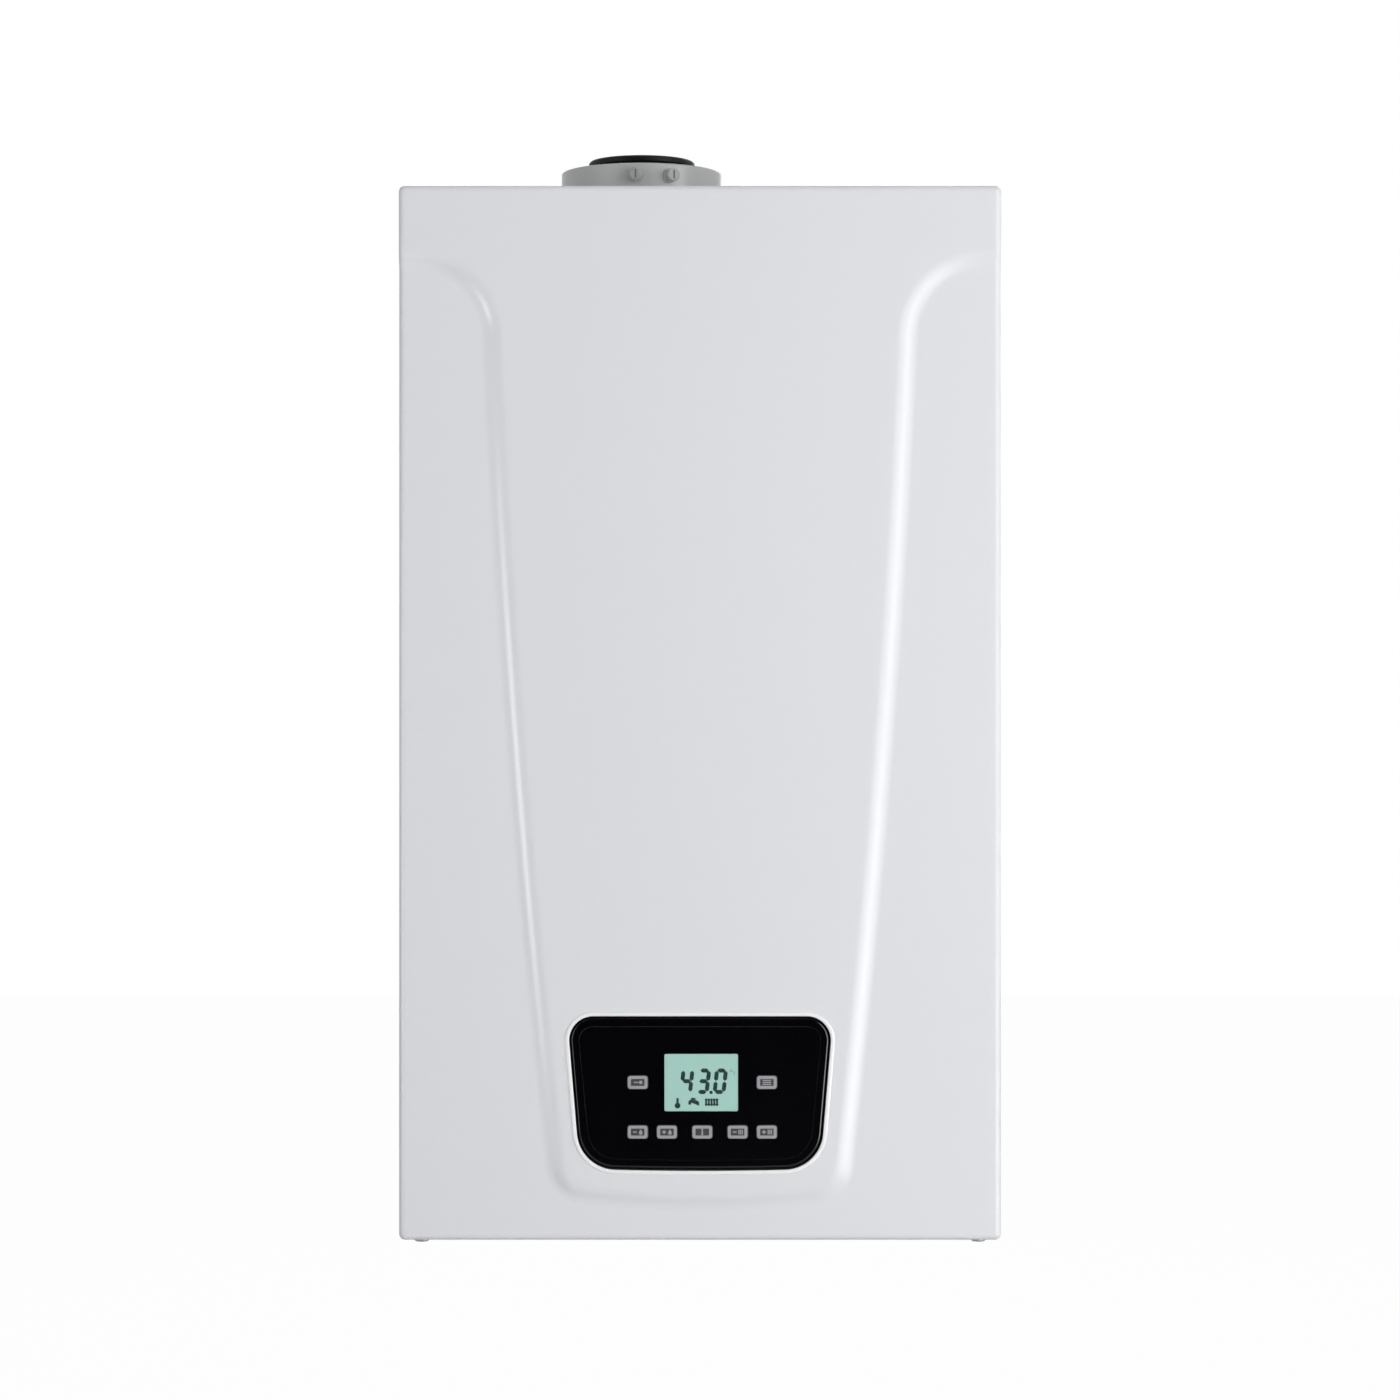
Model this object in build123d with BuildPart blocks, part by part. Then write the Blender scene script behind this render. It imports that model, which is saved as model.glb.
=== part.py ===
"""Wall-hung condensing combination boiler, as an assembly of separate pieces.

Frame: +Z up, the front faces -Y, the wall is the plane y = 0, and the origin is the middle of the
bottom edge of the casing on that wall. Millimetres. Sketches on Plane.XZ.offset(d) lie d in front of
the wall and read as a front view, with x to the right and z up.
"""
from build123d import *
import math
import os

os.makedirs("parts", exist_ok=True)

# ------------------------------------------------------------------ casing
case_width = 400.0
case_height = 700.0
case_depth = 299.0
sheet = 1.0                    # painted steel of the casing
edge_radius = 4.0              # round along the cover's front edges
corner_radius = 3.0            # round at the cover's four corners
cover_flange = 40.0            # how far the cover's walls reach back
shadow_gap = 0.6               # open line between the cover and the side panels
lip_gap = 0.4                  # play between the cover's walls and the lips that they slide over
lip_length = 18.0
panel_tab = 26.0               # width of the tabs that the cover's screws clamp

# pressed shield on the cover: a broad top, two curved sides drawn in towards the foot
shield_height = 4.0
shield_overrun = 30.0          # how far its outline is drawn past the case, where it is cut off
bevel_width = 8.0
shoulder_drop = 49.0           # from the case's top to the wings' upper edge
shoulder_radius = 52.0
waist_inset = 62.0             # from the case's side to the shield's, under its shoulders
foot_half = 94.0               # half the shield's width at its foot
foot_z = 33.0
foot_radius = 20.0
side_bulge = 4.9
sole_drop = 7.0                # how far the foot's edge bows down in the middle

# control window in the cover
window_top_half = 88.1
window_foot_half = 79.7
window_top_z = 149.2
window_foot_z = 48.2
window_sole_drop = 1.4
window_top_radius = 16.0
window_foot_radius = 26.0
rim_width = 2.6
rim_height = 0.9

# ------------------------------------------------------------------ frame and wall bracket
frame_sheet = 1.2
wall_space = 12.0              # from the wall to the frame's back plate
wall_lip = 15.0                # width of the lips that lie on the wall
swage_radius = 4.0
swage_spread = 150.0
hook_drop = 36.0               # from the case's top to the seat on which the frame's tongues hang
hook_width = 60.0
hook_spread = 220.0
hook_sheet = 2.0
hook_rise = 12.0
bracket_length = 320.0
bracket_height = 34.0
bolt_spacing = 240.0
bolt_hole_radius = 4.5

# ------------------------------------------------------------------ cover studs and screws
stud_radius = 3.0
stud_length = 52.0
stud_spread = 330.0
stud_drop = 20.0               # below the cover's top
stud_play = 0.3
flange_drop = 38.0             # top plate's front flange
cover_screw_radius = 2.5
cover_screw_play = 0.3
cover_screw_inset = 13.0       # from the inside of the side panels
cover_screw_setback = 22.0     # behind the cover's front
screw_head_radius = 5.0
screw_head_height = 3.0
cover_nut_radius = 5.0
cover_nut_height = 4.0

# ------------------------------------------------------------------ flue collar
flue_x = -41.0
flue_y = -146.0
collar_radius = 56.5
collar_height = 29.7
air_bore_radius = 50.4
flue_bore_radius = 30.3
socket_wall = 3.2
collar_flange_radius = 66.0
collar_flange_thick = 3.0
collar_web_thick = 3.0
collar_web_height = 8.0
socket_height = 33.0           # inner socket above the case
seal_radius = 37.3
seal_height = 5.0
flue_duct_wall = 1.2
test_point_radius = 5.0
test_point_height = 21.0       # above the case
test_point_reach = 4.0
test_point_angles = (-3.0, 21.0)
plug_radius = 4.6
plug_length = 4.0

# ------------------------------------------------------------------ expansion vessel
vessel_radius = 158.0
vessel_depth = 78.0
vessel_round = 24.0
vessel_drop = 208.0            # from the case's top to its middle
vessel_rim = 5.0
vessel_port_radius = 9.0
vessel_wall = 1.5
vessel_pipe_radius = 5.0

# ------------------------------------------------------------------ condensing cell
cell_x = flue_x
cell_lift = 5.0                # from the rail to its lowest point
cell_radius = 113.0
cell_front = 205.0             # distance of its front face from the wall
cell_back = 104.0
cell_wall = 2.5
cell_flange = 5.0
cell_rib = 3.0
cell_rib_count = 3
coil_tube = 7.0
coil_turns = 5
coil_gap = 4.5
coil_thick = 16.0
door_radius = 88.0
door_thick = 6.0
door_bolt_radius = 3.5
door_bolt_circle = 78.0
door_bolt_count = 6
burner_radius = 32.0
burner_length = 70.0
electrode_radius = 2.0
ceramic_radius = 5.0
ceramic_inside = 18.0
ceramic_outside = 20.0         # beyond the door's face
electrode_inside = 50.0
electrode_outside = 28.0
door_nut_height = 6.0
door_bolt_tip = 3.0
door_bolt_play = 0.3
support_rail_lift = 21.0       # above the gas valve
support_rail_height = 22.0
support_rail_depth = 45.0
foot_block_width = 26.0

# ------------------------------------------------------------------ fan, mixer and premix duct
fan_x = 130.0
fan_y = -183.0
fan_drop = 140.0               # from the case's top to the underside of the scroll
fan_height = 42.0
fan_wall = 2.5
scroll_radius = 50.0
scroll_step = 4.0
outlet_width = 32.0
outlet_reach = 66.0            # from the fan's axis to the outlet's flange
eye_radius = 24.0
impeller_radius = 43.0
impeller_height = 26.0
impeller_blades = 12
impeller_plate = 2.0
impeller_hub = 9.0
blade_thick = 1.6
shaft_radius = 3.0
shaft_play = 0.1
motor_radius = 36.0
motor_height = 44.0
duct_radius = 14.0
duct_wall = 2.0
duct_bend = 34.0
mixer_radius = 28.0
mixer_height = 46.0
mixer_throat = 16.0
silencer_radius = 27.0
silencer_wall = 2.0
silencer_gap = 62.0            # from its foot down to the support rail

# ------------------------------------------------------------------ gas side
gas_valve_x = 25.0
gas_valve_y = -150.0
gas_valve_z = 205.0
gas_valve_width = 62.0
gas_valve_depth = 58.0
gas_valve_height = 74.0
gas_pipe_radius = 9.0
gas_feed_radius = 6.0

# ------------------------------------------------------------------ pipe tails and hydraulic blocks
tail_pitch = 65.0
tail_y = -100.0
tail_reach = 18.0              # below the casing
heating_thread_radius = 13.2   # G 3/4
water_thread_radius = 10.5     # G 1/2
thread_length = 16.0
tail_bore_share = 0.68
plate_z = 24.0                 # connection plate above the casing's bottom edge
plate_front = 190.0
plate_sheet = 1.5
tail_hex_height = 9.0
block_z = 82.0
block_radius = 20.0
block_inner_x = 46.0
block_outer_x = 168.0
block_round = 5.0
socket_wall_thick = 3.0
flow_stub_shift = 19.0
flow_stub_height = 26.0
diverter_x = -112.0
diverter_seat = 6.0            # above the block
diverter_round = 7.0
boss_wall = 4.0
riser_radius = 13.0
port_radius = 15.0
pump_x = 118.0
pump_z = 150.0
volute_radius = 44.0
volute_depth = 46.0
pump_motor_radius = 40.0
pump_motor_depth = 78.0
diverter_width = 44.0
diverter_depth = 52.0
diverter_height = 56.0
hex_length = 190.0             # plate exchanger
hex_height = 74.0
hex_plates = 12
hex_plate_pitch = 3.0
hex_z = 62.0
hex_port_radius = 10.0
heating_pipe_radius = 9.0
vent_radius = 13.0
vent_height = 34.0
vent_cap_radius = 6.0
vent_cap_height = 8.0
relief_x = 92.0
relief_radius = 12.0
relief_length = 30.0
relief_knob_radius = 15.0
relief_knob_depth = 16.0
fill_x = 32.0
fill_y = -128.0
fill_radius = 10.0
fill_knob_radius = 14.0
fill_knob_height = 20.0
gauge_x = -98.0
gauge_y = -158.0
gauge_radius = 20.0
gauge_height = 18.0
needle_length = 14.0
trap_inset = 42.0              # from the case's side to its axis
trap_y = -160.0
trap_radius = 24.0
trap_drop = 100.0              # from the rail down to its top
trap_foot = 52.0
trap_outlet_radius = 11.0
trap_spigot_length = 12.0
trap_spigot_gap = 2.0          # from the spigot up to the connection plate
trap_groove_depth = 1.0
trap_neck_play = 0.5
trap_ring_width = 2.5
trap_ring_height = 12.0
trap_ring_rise = 34.0
trap_bore_wall = 2.0
trap_nipple_height = 8.0
trap_nipple_wall = 4.0
hose_run = 50.0                # straight length at each end of the condensate hose
hose_bend = 22.0

# ------------------------------------------------------------------ control box
box_width = 326.0
box_foot = 32.0
box_height = 150.0
box_setback = 9.0              # from the cover's face back to its front wall's face
box_depth = 52.0
box_wall = 2.5
pivot_z = 26.0
pivot_setback = 47.0           # from the cover's face back to the hinge axis
trunnion_radius = 4.0
trunnion_play = 0.08
trunnion_length = 9.0
ear_sheet = 2.0
fascia_recess = 0.5            # fascia's face behind the shield's face
fascia_skin = 2.5
fascia_gap = 0.6               # between the fascia and the cover's window
fascia_crown = 2.2             # round along the fascia's edge
display_width = 49.0
display_height = 38.2
display_z = 105.2
display_x = 0.8
display_play = 0.15
key_width = 14.0
key_height = 9.5
key_corner = 2.2
key_play = 0.25
key_proud = 0.6
key_travel = 0.8
key_flange = 1.2
key_row_high = 105.4
key_row_low = 72.5
key_centre_x = 1.5
key_outer = 42.8
key_inner = 23.4
mat_thick = 1.0
board_thick = 1.6
main_board_depth = 24.0        # from the box's front wall back to the main board
field_inset = 6.2              # from the fascia's edge to its raised field
field_step = 0.4
box_corner = 6.0
ribbon_width = 40.0
ribbon_height = 12.0
post_inset = 20.0
post_radius = 4.0
pad_radius = 3.0
pad_spread_x = 110.0
pad_spread_z = 50.0
lug_lap = 8.0
vent_slot_count = 16
vent_slot_pitch = 10.0
vent_slot_length = 26.0
vent_slot_width = 4.0
grommet_radius = 7.0
grommet_rise = 50.0
grommet_pitch = 60.0
grommet_depth = 4.0
board_margin = 8.0
transformer_x = -110.0
transformer_rise = 20.0
transformer_width = 46.0
transformer_depth = 18.0
transformer_height = 38.0
terminal_drop = 50.0
terminal_depth = 13.0
power_terminal_x = 110.0
power_terminal_width = 70.0
power_terminal_height = 14.0
signal_terminal_x = -30.0
signal_terminal_width = 120.0
signal_terminal_height = 12.0
relay_first_x = -50.0
relay_pitch = 28.0
relay_rise = 30.0
relay_width = 18.0
relay_height = 22.0
relay_depth = 15.0
capacitor_first_x = 60.0
capacitor_pitch = 24.0
capacitor_radius = 8.0
processor_x = 40.0
processor_drop = 10.0
processor_width = 26.0
processor_depth = 3.0
key_board_margin = 8.0
key_board_foot_margin = 10.0
key_board_corner = 14.0
display_lap = 1.5              # by which the display module stands out behind the fascia's opening
display_shoulder = 0.5
mat_height = 58.0
mat_margin = 6.0
mat_display_gap = 2.0
mat_display_clear = 10.0
mat_row_reach = 30.0
mat_row_margin = 3.0

# ------------------------------------------------------------------ worked-out places
half_width = case_width / 2
waist_half = half_width - waist_inset
inner_half = half_width - sheet
shoulder_z = case_height - shoulder_drop
hook_z = case_height - hook_drop
vessel_z = case_height - vessel_drop
fan_z = case_height - fan_drop
box_front = case_depth - box_setback
pivot_y = -(case_depth - pivot_setback)
support_rail_z = gas_valve_z + gas_valve_height + support_rail_lift
cell_z = support_rail_z + support_rail_height + cell_lift + cell_radius
trap_x = -(half_width - trap_inset)
trap_top = support_rail_z - trap_drop
cover_back = case_depth - cover_flange
panel_front = cover_back - shadow_gap
back_plate = wall_space + frame_sheet
wing_face = case_depth - shield_height
bevel_angle = math.atan2(shield_height, bevel_width)
fascia_face = case_depth - fascia_recess
fascia_back = fascia_face - fascia_skin
key_flange_back = fascia_back - key_flange
mat_front = key_flange_back - key_travel
display_board = mat_front - mat_thick
box_back = box_front - box_depth
cell_top = cell_z + cell_radius
rail_top = support_rail_z + support_rail_height
fan_top = fan_z + fan_height
duct_z = fan_z + fan_height / 2
outlet_outer_y = fan_y - scroll_step - scroll_radius - 2 * scroll_step
duct_y = outlet_outer_y + outlet_width / 2
plate_top = plate_z + plate_sheet
trap_neck_radius = trap_outlet_radius + trap_neck_play
tails = {
    "heating_flow": (-2 * tail_pitch, heating_thread_radius),
    "hot_water": (-tail_pitch, water_thread_radius),
    "gas": (0.0, heating_thread_radius),
    "cold_water": (tail_pitch, water_thread_radius),
    "heating_return": (2 * tail_pitch, heating_thread_radius),
}
keys = {
    "key_reset": (key_centre_x - key_outer, key_row_high),
    "key_mode": (key_centre_x + key_outer, key_row_high),
    "key_water_less": (key_centre_x - key_outer, key_row_low),
    "key_water_more": (key_centre_x - key_inner, key_row_low),
    "key_info": (key_centre_x, key_row_low),
    "key_heating_less": (key_centre_x + key_inner, key_row_low),
    "key_heating_more": (key_centre_x + key_outer, key_row_low),
}


def front(distance):
    """Front-view sketch plane at this distance in front of the wall."""
    return Plane.XZ.offset(distance)


# ================================================================== front cover
def shield_outline(grow):
    """The shield's outline in the front view, grown outwards by this much, open past the case's top."""
    beyond = half_width + shield_overrun
    far_top = case_height + shield_overrun
    arc_end_z = shoulder_z - shoulder_radius
    corner = (foot_half + grow, foot_z - grow)
    waist = (waist_half + grow, arc_end_z)
    with BuildSketch(Plane.XY) as outline:
        with BuildLine():
            sole = ThreePointArc((-corner[0], corner[1]), (0, foot_z - sole_drop - grow), corner)
            side = SagittaArc(corner, waist, -side_bulge)
            arc = CenterArc((waist_half + shoulder_radius, arc_end_z), shoulder_radius - grow, 90, 90)
            Line(arc @ 0, (beyond, shoulder_z - grow))
            Polyline((beyond, shoulder_z - grow), (beyond, far_top), (0, far_top))
            mirror(about=Plane.YZ)
        make_face()
        feet = outline.vertices().filter_by(lambda v: abs(v.Y - corner[1]) < 0.01)
        fillet(feet, foot_radius + grow)
    return outline.sketch


def window_outline(grow):
    """The control window's outline in the front view, grown outwards by this much."""
    top = (window_top_half + grow, window_top_z + grow)
    foot = (window_foot_half + grow, window_foot_z - grow)
    with BuildSketch(Plane.XY) as outline:
        with BuildLine():
            Line((-top[0], top[1]), top)
            Line(top, foot)
            ThreePointArc(foot, (0, window_foot_z - window_sole_drop - grow), (-foot[0], foot[1]))
            Line((-foot[0], foot[1]), (-top[0], top[1]))
        make_face()
        corners = outline.vertices().sort_by(Axis.Y)
        fillet(corners[:2], window_foot_radius + grow)
        fillet(outline.vertices().sort_by(Axis.Y)[-2:], window_top_radius + grow)
    return outline.sketch


def cover_block(inset, face, back):
    """The cover's box between two distances from the wall, with its front edges rounded."""
    with BuildPart() as block:
        with BuildSketch(front(back)):
            with Locations((0, case_height / 2)):
                Rectangle(case_width - 2 * inset, case_height - 2 * inset)
        extrude(amount=face - back)
        fillet(block.edges().filter_by(Axis.Y), corner_radius - inset)
        fillet(block.faces().sort_by(Axis.Y)[0].edges(), edge_radius - inset)
    return block.part


def shield_form(inset):
    """The pressed shield, with bevelled sides, inside the cover's rounded outline."""
    shift = inset * math.tan(bevel_angle / 2)
    with BuildPart() as form:
        with BuildSketch(front(wing_face - inset)):
            add(shield_outline(bevel_width / 2 - shift))
        with BuildSketch(front(case_depth - inset)):
            add(shield_outline(-bevel_width / 2 - shift))
        loft(ruled=True)
        with BuildSketch(front(wing_face - inset - 3)):
            add(shield_outline(bevel_width / 2 - shift))
        extrude(amount=3)
        add(cover_block(inset, case_depth - inset, cover_back), mode=Mode.INTERSECT)
    return form.part


stud_z = case_height - stud_drop
cover_screw_x = inner_half - cover_screw_inset
cover_screw_y = -(case_depth - cover_screw_setback)

with BuildPart() as front_cover:
    add(cover_block(0, wing_face, cover_back))
    add(shield_form(0))
    with BuildSketch(front(case_depth)):
        add(window_outline(rim_width))
    extrude(amount=rim_height)
    rim_face = front_cover.faces().sort_by(Axis.Y)[0]
    fillet(rim_face.edges(), rim_height * 0.8)
    add(cover_block(sheet, wing_face - sheet, cover_back - 5), mode=Mode.SUBTRACT)
    add(shield_form(sheet), mode=Mode.SUBTRACT)
    with BuildSketch(front(case_depth - 10)):
        add(window_outline(0))
    extrude(amount=20, mode=Mode.SUBTRACT)
    # locating studs welded behind the front wall
    with BuildSketch(front(case_depth - sheet)):
        with Locations((-stud_spread / 2, stud_z), (stud_spread / 2, stud_z)):
            Circle(stud_radius)
    extrude(amount=-stud_length)
    # holes for the two screws in the bottom wall
    with BuildSketch(Plane.XY):
        with Locations((-cover_screw_x, cover_screw_y), (cover_screw_x, cover_screw_y)):
            Circle(cover_screw_radius + cover_screw_play)
    extrude(amount=sheet, mode=Mode.SUBTRACT)
front_cover.part.label = "front_cover"
export_step(front_cover.part, "parts/front_cover.step")

# screws that stay with the cover: head below its bottom wall, collar nut above the panel's tab
with BuildPart() as cover_screws:
    with Locations((-cover_screw_x, cover_screw_y, 0), (cover_screw_x, cover_screw_y, 0)):
        Cylinder(screw_head_radius, screw_head_height, align=(Align.CENTER, Align.CENTER, Align.MAX))
        Cylinder(cover_screw_radius, sheet + frame_sheet, align=(Align.CENTER, Align.CENTER, Align.MIN))
    with Locations(
        (-cover_screw_x, cover_screw_y, sheet + frame_sheet),
        (cover_screw_x, cover_screw_y, sheet + frame_sheet),
    ):
        Cylinder(cover_nut_radius, cover_nut_height, align=(Align.CENTER, Align.CENTER, Align.MIN))
    fillet(cover_screws.faces().sort_by(Axis.Z)[0:2].edges(), screw_head_height * 0.5)
    # cross recess in each head
    with BuildSketch(Plane.XY.offset(-screw_head_height)):
        with Locations((-cover_screw_x, cover_screw_y), (cover_screw_x, cover_screw_y)):
            Rectangle(screw_head_radius, 1.0)
            Rectangle(1.0, screw_head_radius)
    extrude(amount=screw_head_height * 0.5, mode=Mode.SUBTRACT)
cover_screws.part.label = "cover_screws"
export_step(cover_screws.part, "parts/cover_screws.step")


# ================================================================== fixed casing
def side_panel(side):
    """One side panel, for side +1 (right) or -1 (left), with its front lip and screw tab."""
    lip_outer = inner_half - lip_gap
    tab_outer = inner_half - corner_radius
    with BuildPart() as panel:
        with BuildSketch(Plane.XY) as plan:
            with BuildLine():
                Polyline(
                    (half_width, 0),
                    (half_width, -panel_front),
                    (lip_outer, -panel_front),
                    (lip_outer, -panel_front - lip_length),
                    (lip_outer - sheet, -panel_front - lip_length),
                    (lip_outer - sheet, -panel_front + sheet),
                    (inner_half, -panel_front + sheet),
                    (inner_half, 0),
                    close=True,
                )
            make_face()
        extrude(amount=case_height)
        # the lip stops short of the cover's rounded top and bottom corners
        lip_end = sheet + corner_radius
        with BuildSketch(Plane.XY.offset(case_height - lip_end)):
            with Locations((inner_half, -panel_front)):
                Rectangle(20, 2 * lip_length + 4, align=(Align.CENTER, Align.MAX))
        extrude(amount=lip_end, mode=Mode.SUBTRACT)
        with BuildSketch(Plane.XY):
            with Locations((inner_half, -panel_front)):
                Rectangle(20, 2 * lip_length + 4, align=(Align.CENTER, Align.MAX))
        extrude(amount=lip_end, mode=Mode.SUBTRACT)
        # tab for the cover's screw, with a slot that is open to the front
        with BuildSketch(Plane.XY.offset(sheet)):
            with BuildLine():
                Polyline(
                    (inner_half, -panel_front + 2 * sheet),
                    (tab_outer - panel_tab, -panel_front + 2 * sheet),
                    (tab_outer - panel_tab, cover_screw_y - 2 * screw_head_radius),
                    (tab_outer, cover_screw_y - 2 * screw_head_radius),
                    (tab_outer, -panel_front + sheet),
                    (inner_half, -panel_front + sheet),
                    close=True,
                )
            make_face()
        extrude(amount=frame_sheet)
        slot_half = cover_screw_radius + cover_screw_play
        with BuildSketch(Plane.XY.offset(sheet)):
            with Locations((cover_screw_x, cover_screw_y)):
                Circle(slot_half)
                Rectangle(2 * slot_half, 40, align=(Align.CENTER, Align.MAX))
        extrude(amount=frame_sheet, mode=Mode.SUBTRACT)
        if side < 0:
            mirror(about=Plane.YZ, mode=Mode.REPLACE)
    return panel


side_panel_left = side_panel(-1)
side_panel_left.part.label = "side_panel_left"
export_step(side_panel_left.part, "parts/side_panel_left.step")
side_panel_right = side_panel(1)
side_panel_right.part.label = "side_panel_right"
export_step(side_panel_right.part, "parts/side_panel_right.step")

with BuildPart() as top_plate:
    with BuildSketch(Plane.YZ) as section:
        with BuildLine():
            lip_top = case_height - sheet - lip_gap
            Polyline(
                (0, case_height),
                (-panel_front, case_height),
                (-panel_front, lip_top),
                (-panel_front - lip_length, lip_top),
                (-panel_front - lip_length, lip_top - sheet),
                (-panel_front, lip_top - sheet),
                (-panel_front, case_height - flange_drop),
                (-panel_front + sheet, case_height - flange_drop),
                (-panel_front + sheet, case_height - sheet),
                (0, case_height - sheet),
                close=True,
            )
        make_face()
    extrude(amount=inner_half, both=True)
    # the front lip and flange end beside the side panels' lips
    lip_clear = sheet + 2 * lip_gap
    with BuildSketch(Plane.XY.offset(case_height - flange_drop)):
        for side in (-1, 1):
            with Locations((side * inner_half, -panel_front + sheet)):
                Rectangle(2 * lip_clear, lip_length + 10, align=(Align.CENTER, Align.MAX))
    extrude(amount=flange_drop, mode=Mode.SUBTRACT)
    # flue passage and the two stud holes
    with BuildSketch(Plane.XY.offset(case_height - sheet)):
        with Locations((flue_x, flue_y)):
            Circle(air_bore_radius)
    extrude(amount=sheet, mode=Mode.SUBTRACT)
    with BuildSketch(front(panel_front - sheet)):
        with Locations((-stud_spread / 2, stud_z), (stud_spread / 2, stud_z)):
            Circle(stud_radius + stud_play)
    extrude(amount=sheet, mode=Mode.SUBTRACT)
top_plate.part.label = "top_plate"
export_step(top_plate.part, "parts/top_plate.step")

frame_foot = 0.0
frame_head = case_height - sheet
with BuildPart() as back_frame:
    with BuildSketch(front(0)) as plan:
        with Locations((0, (frame_foot + frame_head) / 2)):
            Rectangle(2 * inner_half, frame_head - frame_foot)
    extrude(amount=back_plate)
    with BuildSketch(front(frame_sheet)):
        with Locations((0, (frame_foot + frame_head) / 2)):
            Rectangle(2 * (inner_half - frame_sheet), frame_head - frame_foot - 2 * frame_sheet)
    extrude(amount=wall_space - frame_sheet, mode=Mode.SUBTRACT)
    with BuildSketch(front(0)):
        with Locations((0, (frame_foot + frame_head) / 2)):
            Rectangle(2 * (inner_half - wall_lip), frame_head - frame_foot - 2 * wall_lip)
    extrude(amount=frame_sheet, mode=Mode.SUBTRACT)
    # upright swages pressed towards the boiler, under the vessel
    swage_foot = plate_top + 40
    swage_head = vessel_z - vessel_radius - 30
    with BuildSketch(front(wall_space + frame_sheet)):
        for side in (-1, 1):
            with Locations((side * swage_spread / 2, (swage_foot + swage_head) / 2)):
                SlotOverall(swage_head - swage_foot, 2 * swage_radius + 2 * frame_sheet, rotation=90)
    extrude(amount=swage_radius / 2)
    with BuildSketch(front(wall_space)):
        for side in (-1, 1):
            with Locations((side * swage_spread / 2, (swage_foot + swage_head) / 2)):
                SlotOverall(swage_head - swage_foot - 2 * frame_sheet, 2 * swage_radius, rotation=90)
    extrude(amount=swage_radius / 2, mode=Mode.SUBTRACT)
    # openings that the bracket's lip shows through, and the tongues that hang on it
    tongue_foot = hook_z
    tongue_head = hook_z + hook_rise + 2 * hook_sheet
    with BuildSketch(front(wall_space)):
        for side in (-1, 1):
            with Locations((side * hook_spread / 2, tongue_head)):
                Rectangle(hook_width, hook_rise, align=(Align.CENTER, Align.MAX))
    extrude(amount=frame_sheet, mode=Mode.SUBTRACT)
    tongue_gap = 1.0
    tongue_wall_side = hook_sheet + tongue_gap
    with BuildSketch(Plane.YZ):
        with BuildLine():
            Polyline(
                (-back_plate, tongue_head),
                (-tongue_wall_side, tongue_head),
                (-tongue_wall_side, tongue_foot),
                (-tongue_wall_side - hook_sheet, tongue_foot),
                (-tongue_wall_side - hook_sheet, tongue_head - hook_sheet),
                (-back_plate, tongue_head - hook_sheet),
                close=True,
            )
        make_face()
    for side in (-1, 1):
        with Locations((side * hook_spread / 2, 0, 0)):
            add(
                extrude(back_frame.pending_faces[0], amount=hook_width / 2, both=True, mode=Mode.PRIVATE)
            )
    back_frame.pending_faces.clear()
back_frame.part.label = "back_frame"
export_step(back_frame.part, "parts/back_frame.step")

with BuildPart() as wall_bracket:
    lip_back = tongue_wall_side + hook_sheet + tongue_gap
    with BuildSketch(Plane.YZ):
        with BuildLine():
            Polyline(
                (0, hook_z),
                (-lip_back, hook_z),
                (-lip_back, hook_z + hook_rise),
                (-lip_back - hook_sheet, hook_z + hook_rise),
                (-lip_back - hook_sheet, hook_z - hook_sheet),
                (-hook_sheet, hook_z - hook_sheet),
                (-hook_sheet, hook_z - bracket_height),
                (0, hook_z - bracket_height),
                close=True,
            )
        make_face()
    extrude(amount=bracket_length / 2, both=True)
    with BuildSketch(front(0)):
        with Locations((0, hook_z - bracket_height / 2)):
            with GridLocations(bolt_spacing, 0, 2, 1):
                Circle(bolt_hole_radius)
    extrude(amount=hook_sheet, mode=Mode.SUBTRACT)
    fillet(wall_bracket.edges().filter_by(Axis.Y).group_by(Axis.Z)[0], 5)
wall_bracket.part.label = "wall_bracket"
export_step(wall_bracket.part, "parts/wall_bracket.step")


# ================================================================== connection plate, rail
lift = (Align.CENTER, Align.CENTER, Align.MIN)
hang = (Align.CENTER, Align.CENTER, Align.MAX)


def tube_along(points, radius, bend):
    """A round bar or pipe along these points, with bends of this radius at the corners."""
    with BuildPart() as run:
        with BuildLine() as path:
            FilletPolyline(*points, radius=bend)
        with BuildSketch(Plane(origin=path.line @ 0, z_dir=path.line % 0)):
            Circle(radius)
        sweep(path=path.line)
    return run.part


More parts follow.
